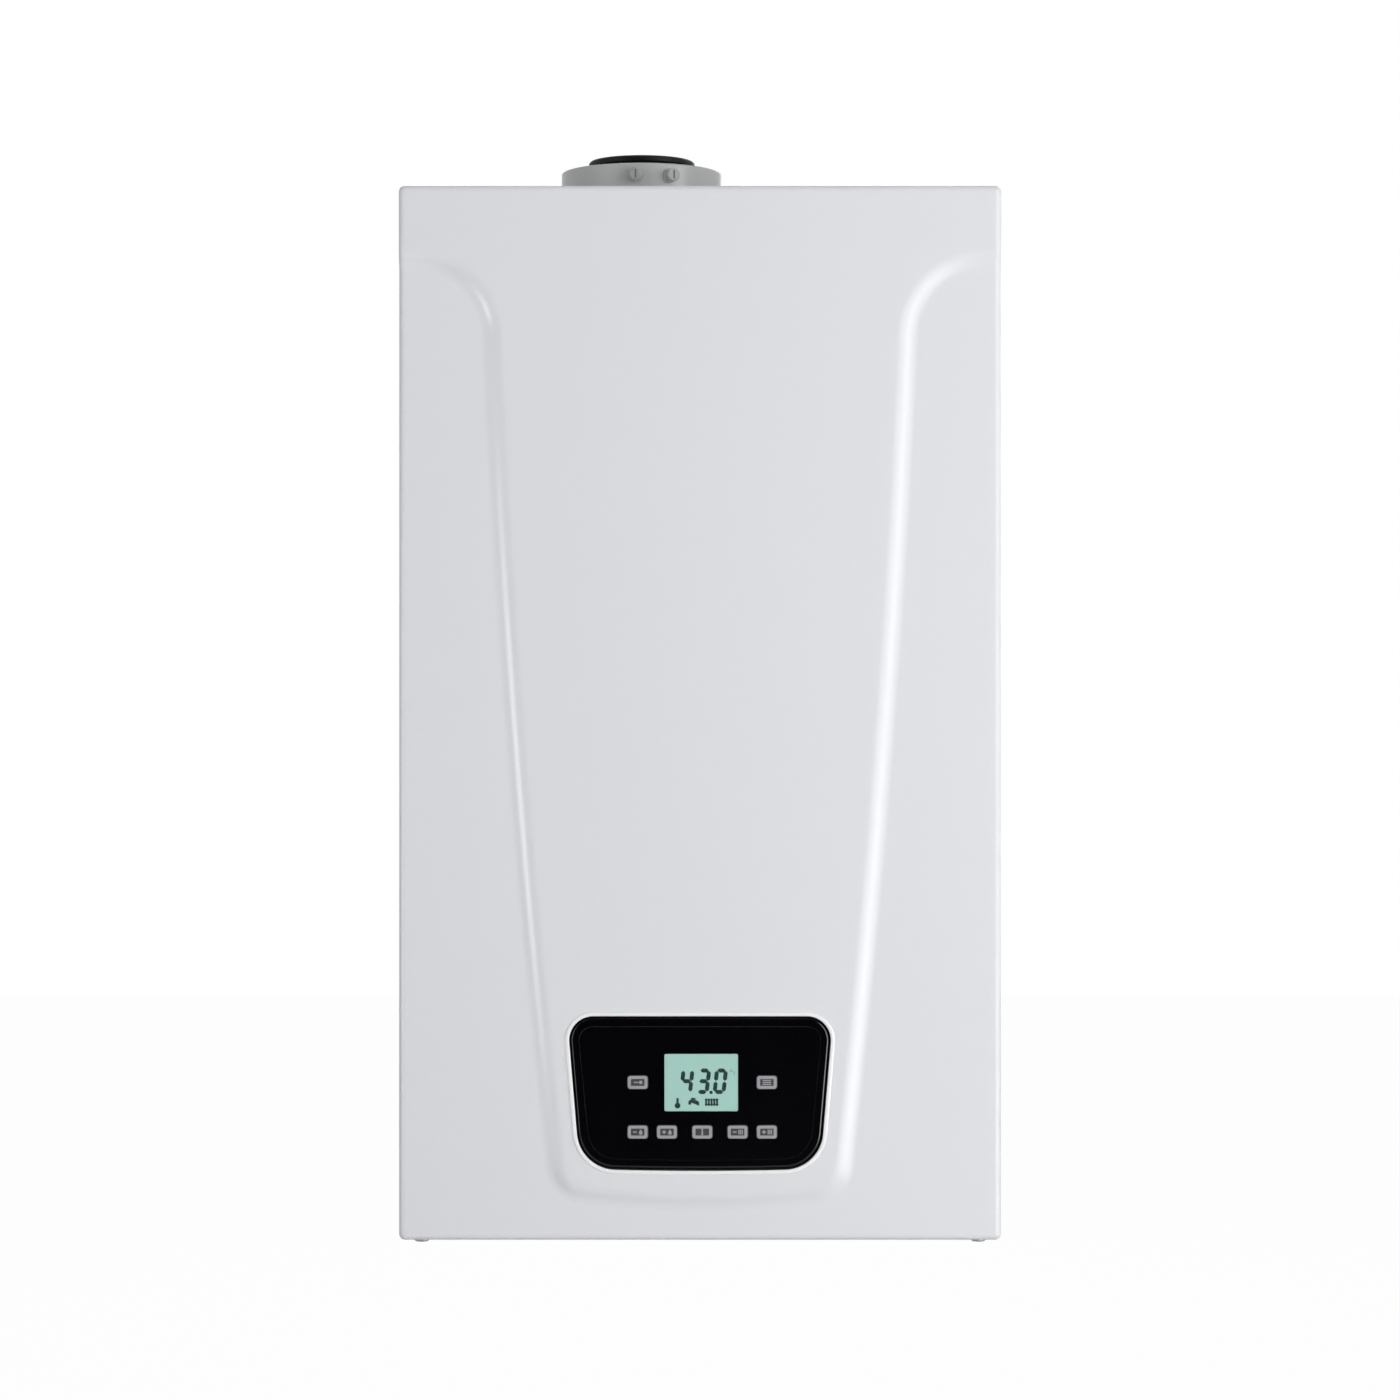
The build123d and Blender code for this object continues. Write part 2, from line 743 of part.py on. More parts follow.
box_half = box_width / 2
ear_inner = box_half + 2.0
with BuildPart() as connection_plate:
    with BuildSketch(Plane.XY.offset(plate_z)):
        with Locations((0, -(back_plate + plate_front) / 2)):
            Rectangle(2 * inner_half, plate_front - back_plate)
    extrude(amount=plate_sheet)
    # folded edge along the front
    with BuildSketch(Plane.XY.offset(plate_z - 10)):
        with Locations((0, -plate_front)):
            Rectangle(2 * inner_half - 20, plate_sheet, align=(Align.CENTER, Align.MIN))
    extrude(amount=10)
    # ears that carry the control box
    with BuildSketch(Plane.YZ.offset(ear_inner)) as ear_view:
        with BuildLine():
            ear_half = 2 * trunnion_radius + 1
            tip = CenterArc((pivot_y, pivot_z), ear_half, 90, 180)
            Polyline(tip @ 0, (-plate_front + 8, pivot_z + ear_half), (-plate_front + 8, pivot_z - ear_half))
            Line((-plate_front + 8, pivot_z - ear_half), tip @ 1)
        make_face()
        with Locations((pivot_y, pivot_z)):
            Circle(trunnion_radius + trunnion_play, mode=Mode.SUBTRACT)
    extrude(amount=ear_sheet)
    mirror(about=Plane.YZ)
    # holes for the tails, the trap's outlet, the gauge and the filling tap
    with BuildSketch(Plane.XY.offset(plate_z)):
        for tail_x, thread_radius in tails.values():
            with Locations((tail_x, tail_y)):
                Circle(thread_radius)
        with Locations((trap_x, trap_y)):
            Circle(trap_neck_radius)
        with Locations((gauge_x, gauge_y)):
            Circle(gauge_radius)
        with Locations((fill_x, fill_y)):
            Circle(fill_radius)
    extrude(amount=plate_sheet, mode=Mode.SUBTRACT)
connection_plate.part.label = "connection_plate"
export_step(connection_plate.part, "parts/connection_plate.step")

rail_y = -(cell_back + cell_front) / 2 + 7
with BuildPart() as support_rail:
    with BuildSketch(Plane.YZ):
        with Locations((rail_y, support_rail_z + support_rail_height / 2)):
            Rectangle(support_rail_depth, support_rail_height)
        with Locations((rail_y, support_rail_z)):
            Rectangle(
                support_rail_depth - 2 * plate_sheet,
                support_rail_height - plate_sheet,
                align=(Align.CENTER, Align.MIN),
                mode=Mode.SUBTRACT,
            )
    extrude(amount=inner_half, both=True)
    with BuildSketch(Plane.XY.offset(rail_top)):
        with Locations((cell_x + 90, rail_y)):
            with GridLocations(36, 0, 4, 1):
                SlotOverall(24, 10)
    extrude(amount=-plate_sheet, mode=Mode.SUBTRACT)
support_rail.part.label = "support_rail"
export_step(support_rail.part, "parts/support_rail.step")


# ================================================================== flue
socket_outer = flue_bore_radius + socket_wall
duct_outer = flue_bore_radius - 0.15
with BuildPart() as flue_collar:
    with Locations((flue_x, flue_y, case_height)):
        Cylinder(collar_radius, collar_height, align=lift)
    fillet(flue_collar.faces().sort_by(Axis.Z)[-1].edges(), 1.2)
    with Locations((flue_x, flue_y, case_height)):
        Cylinder(air_bore_radius, collar_height, align=lift, mode=Mode.SUBTRACT)
    # inner socket, with the shoulder on which the flue pipe stops
    with Locations((flue_x, flue_y, case_height - collar_web_height)):
        Cylinder(socket_outer, socket_height + collar_web_height, align=lift)
    # fins between the socket and the collar
    with Locations((flue_x, flue_y, case_height)):
        with PolarLocations((socket_outer + air_bore_radius) / 2, 3, start_angle=30):
            Box(air_bore_radius - socket_outer + 2, collar_web_thick, collar_web_height, align=lift)
    with Locations((flue_x, flue_y, case_height + collar_web_thick)):
        Cylinder(flue_bore_radius, socket_height, align=lift, mode=Mode.SUBTRACT)
    with Locations((flue_x, flue_y, case_height - collar_web_height)):
        Cylinder(duct_outer, collar_web_height, align=lift, mode=Mode.SUBTRACT)
    with Locations((flue_x, flue_y, case_height)):
        Cylinder(duct_outer - flue_duct_wall, collar_web_thick, align=lift, mode=Mode.SUBTRACT)
    # bosses of the two test points
    for angle in test_point_angles:
        turn = math.radians(angle)
        outwards = (math.sin(turn), -math.cos(turn), 0)
        seat = (
            flue_x + collar_radius * outwards[0],
            flue_y + collar_radius * outwards[1],
            case_height + test_point_height,
        )
        with BuildSketch(Plane(origin=seat, z_dir=outwards)):
            Circle(test_point_radius)
        extrude(amount=test_point_reach)
        with BuildSketch(Plane(origin=seat, z_dir=outwards)):
            Circle(test_point_radius)
        extrude(amount=-(collar_radius - air_bore_radius) / 2)
flue_collar.part.label = "flue_collar"
export_step(flue_collar.part, "parts/flue_collar.step")

with BuildPart() as flue_seal:
    with Locations((flue_x, flue_y, case_height + socket_height)):
        Cylinder(seal_radius, seal_height, align=lift)
        Cylinder(flue_bore_radius, seal_height, align=lift, mode=Mode.SUBTRACT)
    chamfer(flue_seal.edges().filter_by(GeomType.CIRCLE).group_by(SortBy.RADIUS)[-1], 1.2)
flue_seal.part.label = "flue_seal"
export_step(flue_seal.part, "parts/flue_seal.step")

neck_top = cell_top + 14
with BuildPart() as flue_duct:
    with Locations((flue_x, flue_y, cell_top)):
        Cylinder(duct_outer, case_height - cell_top, align=lift)
        Cylinder(duct_outer - flue_duct_wall, case_height - cell_top, align=lift, mode=Mode.SUBTRACT)
    # bead above the cell's neck
    with Locations((flue_x, flue_y, neck_top + 6)):
        Cylinder(duct_outer + 2, 4, align=lift)
        Cylinder(duct_outer - flue_duct_wall, 4, align=lift, mode=Mode.SUBTRACT)
    fillet(flue_duct.faces().filter_by(Axis.Z).group_by(Axis.Z)[2].edges().group_by(SortBy.RADIUS)[-1], 1.5)
flue_duct.part.label = "flue_duct"
export_step(flue_duct.part, "parts/flue_duct.step")


# the two plugs share a shape; each turns with its own test point
def test_plug(angle):
    """Plug that closes a test point: a cap over the boss's end with a short stem inside."""
    turn = math.radians(angle)
    outwards = (math.sin(turn), -math.cos(turn), 0)
    reach = collar_radius + test_point_reach
    seat = (flue_x + reach * outwards[0], flue_y + reach * outwards[1], case_height + test_point_height)
    with BuildPart() as plug:
        with BuildSketch(Plane(origin=seat, z_dir=outwards)):
            Circle(plug_radius)
        extrude(amount=plug_length)
        outer_face = plug.faces().filter_by(GeomType.PLANE).sort_by(Axis.Y)[0]
        chamfer(outer_face.edges(), 0.8)
        with BuildSketch(Plane(origin=seat, z_dir=outwards).offset(plug_length)):
            Rectangle(1.2, plug_radius * 1.3)
        extrude(amount=-1.2, mode=Mode.SUBTRACT)
    return plug


test_plug_left = test_plug(test_point_angles[0])
test_plug_left.part.label = "test_plug_left"
export_step(test_plug_left.part, "parts/test_plug_left.step")
test_plug_right = test_plug(test_point_angles[1])
test_plug_right.part.label = "test_plug_right"
export_step(test_plug_right.part, "parts/test_plug_right.step")


# ================================================================== expansion vessel
with BuildPart() as expansion_vessel:
    with BuildSketch(front(back_plate)):
        with Locations((0, vessel_z)):
            Circle(vessel_radius - vessel_rim)
    extrude(amount=vessel_depth)
    fillet(expansion_vessel.faces().filter_by(GeomType.PLANE).edges(), vessel_round)
    # rolled seam
    with BuildSketch(front(back_plate + vessel_depth / 2 - 5)):
        with Locations((0, vessel_z)):
            Circle(vessel_radius)
    extrude(amount=10)
    chamfer(expansion_vessel.edges().filter_by(GeomType.CIRCLE).group_by(SortBy.RADIUS)[-1], 2)
    # water port at the foot
    vessel_foot = vessel_z - vessel_radius
    vessel_pipe_y = -(back_plate + vessel_depth / 2)
    with Locations((0, vessel_pipe_y, vessel_foot - 6)):
        Cylinder(vessel_port_radius, 20, align=lift)
    # hollow inside, in three steps that follow the round
    for shrink, margin in ((vessel_round, 0.0), (vessel_round * 0.4, vessel_round * 0.22), (0.0, vessel_round)):
        hollow_radius = vessel_radius - vessel_rim - vessel_wall - shrink
        hollow_depth = vessel_depth - 2 * (vessel_wall + margin)
        with BuildSketch(front(back_plate + vessel_wall + margin)):
            with Locations((0, vessel_z)):
                Circle(hollow_radius)
        extrude(amount=hollow_depth, mode=Mode.SUBTRACT)
expansion_vessel.part.label = "expansion_vessel"
export_step(expansion_vessel.part, "parts/expansion_vessel.step")


# ================================================================== condensing cell
drum_radius = cell_radius - cell_rib
chamber_radius = drum_radius - cell_wall
door_hole_radius = door_bolt_circle - 2 * door_bolt_radius
port_drop = 68.0
flow_port_x = cell_x - 90
return_port_x = cell_x + 90
pipe_y = tail_y - 15
drain_x = cell_x - 39
drain_y = -(cell_front - 15)
drain_radius = 8.0
with BuildPart() as heat_cell:
    with BuildSketch(front(cell_back)):
        with Locations((cell_x, cell_z)):
            Circle(drum_radius)
    extrude(amount=cell_front - cell_back)
    rib_pitch = (cell_front - cell_back) / (cell_rib_count + 1)
    for index in range(cell_rib_count):
        with BuildSketch(front(cell_back + (index + 1) * rib_pitch - cell_rib / 2)):
            with Locations((cell_x, cell_z)):
                Circle(cell_radius)
        extrude(amount=cell_rib)
    with BuildSketch(front(cell_front - cell_flange)):
        with Locations((cell_x, cell_z)):
            Circle(cell_radius)
    extrude(amount=cell_flange)
    # foot on the rail, water ports, drain and flue neck
    with Locations((cell_x, rail_y, rail_top)):
        Box(3 * foot_block_width, support_rail_depth - 8, cell_z - cell_radius - rail_top + 20, align=lift)
    with Locations((flow_port_x, pipe_y, cell_z - port_drop), (return_port_x, pipe_y, cell_z - port_drop)):
        Cylinder(heating_pipe_radius + 3, 30, align=(Align.CENTER, Align.CENTER, Align.CENTER))
    with Locations((drain_x, drain_y, cell_z - drum_radius)):
        Cylinder(drain_radius + 3, 30, align=(Align.CENTER, Align.CENTER, Align.CENTER))
    with Locations((flue_x, flue_y, cell_top - 20)):
        Cylinder(duct_outer + 4, neck_top - cell_top + 20, align=lift)
    with Locations((flue_x, flue_y, cell_top)):
        Cylinder(duct_outer, 40, align=lift, mode=Mode.SUBTRACT)
    with Locations((flue_x, flue_y, cell_top)):
        Cylinder(duct_outer - 2, 40, align=hang, mode=Mode.SUBTRACT)
    # chamber and the door's opening
    with BuildSketch(front(cell_back + cell_wall)):
        with Locations((cell_x, cell_z)):
            Circle(chamber_radius)
    extrude(amount=cell_front - cell_flange - cell_back - cell_wall, mode=Mode.SUBTRACT)
    with BuildSketch(front(cell_front)):
        with Locations((cell_x, cell_z)):
            Circle(door_hole_radius)
    extrude(amount=-cell_flange, mode=Mode.SUBTRACT)
heat_cell.part.label = "heat_cell"
export_step(heat_cell.part, "parts/heat_cell.step")

with BuildPart() as heat_coil:
    coil_outer = chamber_radius - 3
    for index in range(coil_turns):
        with BuildSketch(front(cell_back + cell_wall + index * (coil_thick + coil_gap / 3))):
            with Locations((cell_x, cell_z)):
                Circle(coil_outer)
                Circle(coil_outer - 2 * coil_tube, mode=Mode.SUBTRACT)
        extrude(amount=coil_thick)
    # header that joins the turns, opposite the flue
    with BuildSketch(front(cell_back + cell_wall)):
        with Locations((cell_x, cell_z - coil_outer + 2 * coil_tube)):
            Rectangle(3 * coil_tube, 2 * coil_tube - 4, align=(Align.CENTER, Align.MAX))
    extrude(amount=coil_turns * coil_thick + (coil_turns - 1) * coil_gap / 3)
heat_coil.part.label = "heat_coil"
export_step(heat_coil.part, "parts/heat_coil.step")

hub_radius = 24.0
hub_depth = 2 * duct_radius + 8
duct_foot = cell_z + hub_radius + 8
door_face = cell_front + door_thick
electrode_x = cell_x + 34
electrode_z = cell_z - 42
with BuildPart() as burner_door:
    with BuildSketch(front(cell_front)):
        with Locations((cell_x, cell_z)):
            Circle(door_radius)
            with PolarLocations(door_bolt_circle, door_bolt_count, start_angle=15):
                Circle(door_bolt_radius, mode=Mode.SUBTRACT)
    extrude(amount=door_thick)
    with BuildSketch(front(door_face)):
        with Locations((cell_x, cell_z)):
            Circle(hub_radius)
    extrude(amount=hub_depth)
    fillet(burner_door.faces().sort_by(Axis.Y)[0].edges(), 5)
    with Locations((cell_x, duct_y, cell_z)):
        Cylinder(duct_radius + 4, duct_foot - cell_z, align=lift)
    # stiffening ribs, sight glass boss and electrode seat
    with Locations((cell_x, -door_face, cell_z)):
        for angle in (-20, 45, 135, 200, 270):
            turn = math.radians(angle)
            with Locations(((hub_radius + 20) * math.cos(turn), 0, (hub_radius + 20) * math.sin(turn))):
                Box(46, 5, 4, rotation=(0, -angle, 0), align=(Align.CENTER, Align.MAX, Align.CENTER))
    with BuildSketch(front(door_face)):
        with Locations((electrode_x, electrode_z)):
            Circle(ceramic_radius + 4)
        with Locations((cell_x - 50, cell_z + 10)):
            Circle(11)
    extrude(amount=4)
    with BuildSketch(front(door_face + 4)):
        with Locations((cell_x - 50, cell_z + 10)):
            Circle(7)
    extrude(amount=-2, mode=Mode.SUBTRACT)
    with BuildSketch(front(cell_front)):
        with Locations((electrode_x, electrode_z)):
            Circle(ceramic_radius)
    extrude(amount=door_thick + 4, mode=Mode.SUBTRACT)
burner_door.part.label = "burner_door"
export_step(burner_door.part, "parts/burner_door.step")

with BuildPart() as door_nuts:
    with BuildSketch(front(door_face)):
        with Locations((cell_x, cell_z)):
            with PolarLocations(door_bolt_circle, door_bolt_count, start_angle=15):
                RegularPolygon(door_bolt_radius * 1.7, 6, major_radius=False)
    extrude(amount=door_nut_height)
    with BuildSketch(front(cell_front)):
        with Locations((cell_x, cell_z)):
            with PolarLocations(door_bolt_circle, door_bolt_count, start_angle=15):
                Circle(door_bolt_radius - door_bolt_play)
    extrude(amount=door_thick + door_nut_height + door_bolt_tip)
door_nuts.part.label = "door_nuts"
export_step(door_nuts.part, "parts/door_nuts.step")

with BuildPart() as burner:
    with BuildSketch(front(cell_front)):
        with Locations((cell_x, cell_z)):
            Circle(burner_radius)
    extrude(amount=-burner_length)
    with BuildSketch(front(cell_front)):
        with Locations((cell_x, cell_z)):
            Circle(burner_radius - 1.5)
    extrude(amount=-(burner_length - 1.5), mode=Mode.SUBTRACT)
    with BuildSketch(front(cell_front)):
        with Locations((cell_x, cell_z)):
            Circle(burner_radius + 8)
            Circle(burner_radius - 1.5, mode=Mode.SUBTRACT)
    extrude(amount=-2)
burner.part.label = "burner"
export_step(burner.part, "parts/burner.step")

with BuildPart() as electrodes:
    with BuildSketch(front(cell_front - ceramic_inside)):
        with Locations((electrode_x, electrode_z)):
            Circle(ceramic_radius)
    extrude(amount=ceramic_inside + door_thick + ceramic_outside)
    chamfer(electrodes.faces().sort_by(Axis.Y)[0].edges(), 1)
    with BuildSketch(front(cell_front - electrode_inside)):
        with Locations((electrode_x, electrode_z)):
            Circle(electrode_radius)
    extrude(amount=electrode_inside + door_thick + electrode_outside)
electrodes.part.label = "electrodes"
export_step(electrodes.part, "parts/electrodes.step")


# ================================================================== fan
def scroll_outline(inset):
    """The scroll in plan: three quarter arcs that widen by a step each, then the outlet."""
    r1 = scroll_radius - inset
    r2 = r1 + scroll_step
    r3 = r2 + scroll_step
    wide_x = fan_x - scroll_step
    low_y = fan_y - scroll_step
    mouth_x = fan_x - outlet_reach
    inner_y = low_y - r3 - inset + outlet_width - inset
    with BuildSketch(Plane.XY) as outline:
        with BuildLine():
            CenterArc((fan_x, fan_y), r1, 90, 90)
            CenterArc((fan_x, low_y), r2, 0, 90)
            CenterArc((wide_x, low_y), r3, -90, 90)
            Polyline(
                (wide_x, low_y - r3),
                (mouth_x, low_y - r3),
                (mouth_x, inner_y + inset),
                (fan_x - r1, inner_y + inset),
                (fan_x - r1, fan_y),
            )
        make_face()
    return outline.sketch


with BuildPart() as fan_housing:
    with BuildSketch(Plane.XY.offset(fan_z)):
        add(scroll_outline(0))
    extrude(amount=fan_height)
    fillet(fan_housing.faces().sort_by(Axis.Z)[-1].edges(), 2)
    with BuildSketch(Plane.XY.offset(fan_z + fan_wall)):
        add(scroll_outline(fan_wall))
    extrude(amount=fan_height - 2 * fan_wall, mode=Mode.SUBTRACT)
    with Locations((fan_x, fan_y, fan_z)):
        Cylinder(eye_radius, fan_wall, align=lift, mode=Mode.SUBTRACT)
    with Locations((fan_x, fan_y, fan_top)):
        Cylinder(shaft_radius + shaft_play, fan_wall, align=hang, mode=Mode.SUBTRACT)
    # lugs for the clamp screws round the edge
    with Locations((fan_x, fan_y, fan_z + fan_height / 2)):
        for turn in (0.35, 1.3, 2.3):
            with Locations(((scroll_radius + 6) * math.cos(turn), (scroll_radius + 1) * math.sin(turn), 0)):
                Cylinder(4, 12)
fan_housing.part.label = "fan_housing"
export_step(fan_housing.part, "parts/fan_housing.step")

with BuildPart() as fan_motor:
    with Locations((fan_x, fan_y, fan_top)):
        Cylinder(motor_radius, motor_height, align=lift)
    fillet(fan_motor.faces().sort_by(Axis.Z)[-1].edges(), 4)
    with BuildSketch(Plane.XY.offset(fan_top + motor_height)):
        with Locations((fan_x, fan_y)):
            with PolarLocations(motor_radius * 0.62, 12):
                SlotOverall(motor_radius * 0.5, 4)
    extrude(amount=-3, mode=Mode.SUBTRACT)
    with Locations((fan_x, fan_y - motor_radius + 4, fan_top + 8)):
        Box(26, 16, 22, align=(Align.CENTER, Align.MAX, Align.MIN))
    with Locations((fan_x, fan_y, fan_top)):
        Cylinder(shaft_radius + shaft_play, motor_height * 0.5, align=lift, mode=Mode.SUBTRACT)
fan_motor.part.label = "fan_motor"
export_step(fan_motor.part, "parts/fan_motor.step")

impeller_foot = fan_z + fan_wall + 4
# one backward-curved blade in plan, from the hub to the edge
blade_start = impeller_hub - 1
with BuildSketch(Plane.XY) as blade:
    with BuildLine():
        ThreePointArc(
            (blade_start, 0),
            ((blade_start + impeller_radius) / 2, (impeller_radius - blade_start) * 0.12),
            (impeller_radius * 0.86, impeller_radius * 0.44),
        )
    trace(line_width=blade_thick)
with BuildPart() as fan_impeller:
    with Locations((fan_x, fan_y, impeller_foot)):
        Cylinder(impeller_radius, impeller_plate, align=lift)
        Cylinder(eye_radius, impeller_plate, align=lift, mode=Mode.SUBTRACT)
    with Locations((fan_x, fan_y, impeller_foot + impeller_height - impeller_plate)):
        Cylinder(impeller_radius, impeller_plate, align=lift)
    with BuildSketch(Plane.XY.offset(impeller_foot)):
        with Locations((fan_x, fan_y)):
            with PolarLocations(0, impeller_blades):
                add(blade.sketch)
    extrude(amount=impeller_height)
    with Locations((fan_x, fan_y, impeller_foot)):
        Cylinder(impeller_hub, impeller_height, align=lift)
        Cylinder(shaft_radius, fan_top - impeller_foot + motor_height * 0.4, align=lift)
    fillet(fan_impeller.edges().filter_by(GeomType.CIRCLE).group_by(Axis.Z)[0].group_by(SortBy.RADIUS)[0], 2)
fan_impeller.part.label = "fan_impeller"
export_step(fan_impeller.part, "parts/fan_impeller.step")

flange_x = fan_x - outlet_reach
with BuildPart() as premix_duct:
    with Locations((flange_x, duct_y, duct_z)):
        Box(4, outlet_width + 10, fan_height, align=(Align.MAX, Align.CENTER, Align.CENTER))
    fillet(premix_duct.edges().filter_by(Axis.X), 5)
    add(
        tube_along(
            ((flange_x - 3, duct_y, duct_z), (cell_x, duct_y, duct_z), (cell_x, duct_y, duct_foot)),
            duct_radius,
            duct_bend,
        )
    )
    with Locations((cell_x, duct_y, duct_foot)):
        Cylinder(duct_radius + 4, 6, align=lift)
    add(
        tube_along(
            ((flange_x + 1, duct_y, duct_z), (cell_x, duct_y, duct_z), (cell_x, duct_y, duct_foot - 1)),
            duct_radius - duct_wall,
            duct_bend,
        ),
        mode=Mode.SUBTRACT,
    )
premix_duct.part.label = "premix_duct"
export_step(premix_duct.part, "parts/premix_duct.step")

mixer_foot = fan_z - mixer_height
silencer_length = mixer_foot - rail_top - silencer_gap
with BuildPart() as venturi:
    with BuildSketch(Plane.XZ):
        with BuildLine():
            Polyline(
                (eye_radius, fan_z),
                (mixer_radius, fan_z),
                (mixer_radius, fan_z - 6),
                (mixer_radius - 5, fan_z - 10),
                (mixer_radius - 5, mixer_foot + 10),
                (mixer_radius, mixer_foot + 6),
                (mixer_radius, mixer_foot),
                (mixer_throat + 6, mixer_foot),
                (mixer_throat, mixer_foot + 16),
                (mixer_throat, mixer_foot + 24),
                close=True,
            )
        make_face()
    revolve(axis=Axis.Z)
with BuildPart() as gas_air_mixer:
    with Locations((fan_x, fan_y, 0)):
        add(venturi.part)
    mixer_port_z = fan_z - mixer_height / 2
    mixer_port_end = fan_x - mixer_radius - 4
    with BuildSketch(Plane.YZ.offset(mixer_port_end)):
        with Locations((fan_y, mixer_port_z)):
            Circle(gas_feed_radius + 3)
    extrude(amount=14)
gas_air_mixer.part.label = "gas_air_mixer"
export_step(gas_air_mixer.part, "parts/gas_air_mixer.step")

with BuildPart() as air_silencer:
    with Locations((fan_x, fan_y, mixer_foot)):
        Cylinder(silencer_radius, silencer_length, align=hang)
    with Locations((fan_x, fan_y, mixer_foot - silencer_length)):
        Cylinder(silencer_radius + 3, 8, align=lift)
    for step in (0.3, 0.55, 0.8):
        with Locations((fan_x, fan_y, mixer_foot - silencer_length * step)):
            Cylinder(silencer_radius + 1.5, 5)
    with Locations((fan_x, fan_y, mixer_foot)):
        Cylinder(silencer_radius - silencer_wall, silencer_length, align=hang, mode=Mode.SUBTRACT)
air_silencer.part.label = "air_silencer"
export_step(air_silencer.part, "parts/air_silencer.step")


# ================================================================== gas side
gas_valve_top = gas_valve_z + gas_valve_height
with BuildPart() as gas_valve:
    with Locations((gas_valve_x, gas_valve_y, gas_valve_z)):
        Box(gas_valve_width, gas_valve_depth, gas_valve_height * 0.62, align=lift)
    fillet(gas_valve.edges().filter_by(Axis.Z), 4)
    coil_z = gas_valve_z + gas_valve_height * 0.62
    for shift in (-0.25, 0.25):
        with Locations((gas_valve_x + shift * gas_valve_width, gas_valve_y, coil_z)):
            Cylinder(gas_valve_width * 0.2, gas_valve_height * 0.38, align=lift)
    fillet(gas_valve.faces().filter_by(Axis.Z).sort_by(Axis.Z)[-2:].edges(), 2)
    # pressure nipples, adjuster and plug on the front
    with BuildSketch(front(-gas_valve_y + gas_valve_depth / 2)):
        with Locations((gas_valve_x - 20, gas_valve_z + 14), (gas_valve_x - 20, gas_valve_z + 32)):
            Circle(4.5)
        with Locations((gas_valve_x + 6, gas_valve_z + 14)):
            Circle(7)
        with Locations((gas_valve_x + 16, gas_valve_z + 34)):
            Rectangle(22, 12)
    extrude(amount=9)
    # inlet boss below and outlet boss at the side
    with Locations((gas_valve_x, gas_valve_y, gas_valve_z)):
        Cylinder(gas_pipe_radius + 6, 10, align=hang)
    outlet_x = gas_valve_x + gas_valve_width / 2
    outlet_z = gas_valve_z + 26
    with BuildSketch(Plane.YZ.offset(outlet_x)):
        with Locations((gas_valve_y, outlet_z)):
            RegularPolygon(gas_feed_radius + 5, 6)
    extrude(amount=10)
gas_valve.part.label = "gas_valve"
export_step(gas_valve.part, "parts/gas_valve.step")

boss_foot = block_z - block_radius - 4
with BuildPart() as gas_pipes:
    add(
        tube_along(
            (
                (0, tail_y, boss_foot),
                (0, tail_y, boss_foot + 45),
                (gas_valve_x, gas_valve_y, gas_valve_z - 50),
                (gas_valve_x, gas_valve_y, gas_valve_z - 10),
            ),
            gas_pipe_radius,
            18,
        )
    )
    riser_x = outlet_x + 32
    add(
        tube_along(
            (
                (outlet_x + 10, gas_valve_y, outlet_z),
                (riser_x, gas_valve_y, outlet_z),
                (riser_x, fan_y, outlet_z + 40),
                (riser_x, fan_y, mixer_port_z),
                (mixer_port_end, fan_y, mixer_port_z),
            ),
            gas_feed_radius,
            9,
        )
    )
    with BuildSketch(Plane.YZ.offset(mixer_port_end)):
        with Locations((fan_y, mixer_port_z)):
            RegularPolygon(gas_feed_radius + 5, 6)
    extrude(amount=-9)
    with Locations((gas_valve_x, gas_valve_y, gas_valve_z - 10)):
        Cylinder(gas_pipe_radius + 5, 12, align=hang)
gas_pipes.part.label = "gas_pipes"
export_step(gas_pipes.part, "parts/gas_pipes.step")


# ================================================================== pipe tails
with BuildPart() as pipe_tails:
    for tail_x, thread_radius in tails.values():
        barrel_radius = thread_radius - 1.5
        with Locations((tail_x, tail_y, 0)):
            Cylinder(thread_radius, tail_reach, align=hang)
            Cylinder(barrel_radius, boss_foot, align=lift)
        # hexagon under the plate
        with BuildSketch(Plane.XY.offset(plate_z - tail_hex_height)):
            with Locations((tail_x, tail_y)):
                RegularPolygon(thread_radius + 3, 6, major_radius=False)
        extrude(amount=tail_hex_height)
        with Locations((tail_x, tail_y, plate_top)):
            Cylinder(thread_radius + 2, 5, align=lift)
        with Locations((tail_x, tail_y, -tail_reach)):
            Cylinder(thread_radius * tail_bore_share, tail_reach + plate_z, align=lift, mode=Mode.SUBTRACT)
pipe_tails.part.label = "pipe_tails"
export_step(pipe_tails.part, "parts/pipe_tails.step")


# ================================================================== hydraulic blocks
hex_port_inset = 25.0
hex_port_x = hex_length / 2 - hex_port_inset
hex_port_low = block_z
hex_port_high = block_z + 36
hex_back = back_plate + swage_radius
hex_front = hex_back + hex_plates * hex_plate_pitch + 6
block_back = -tail_y - block_radius


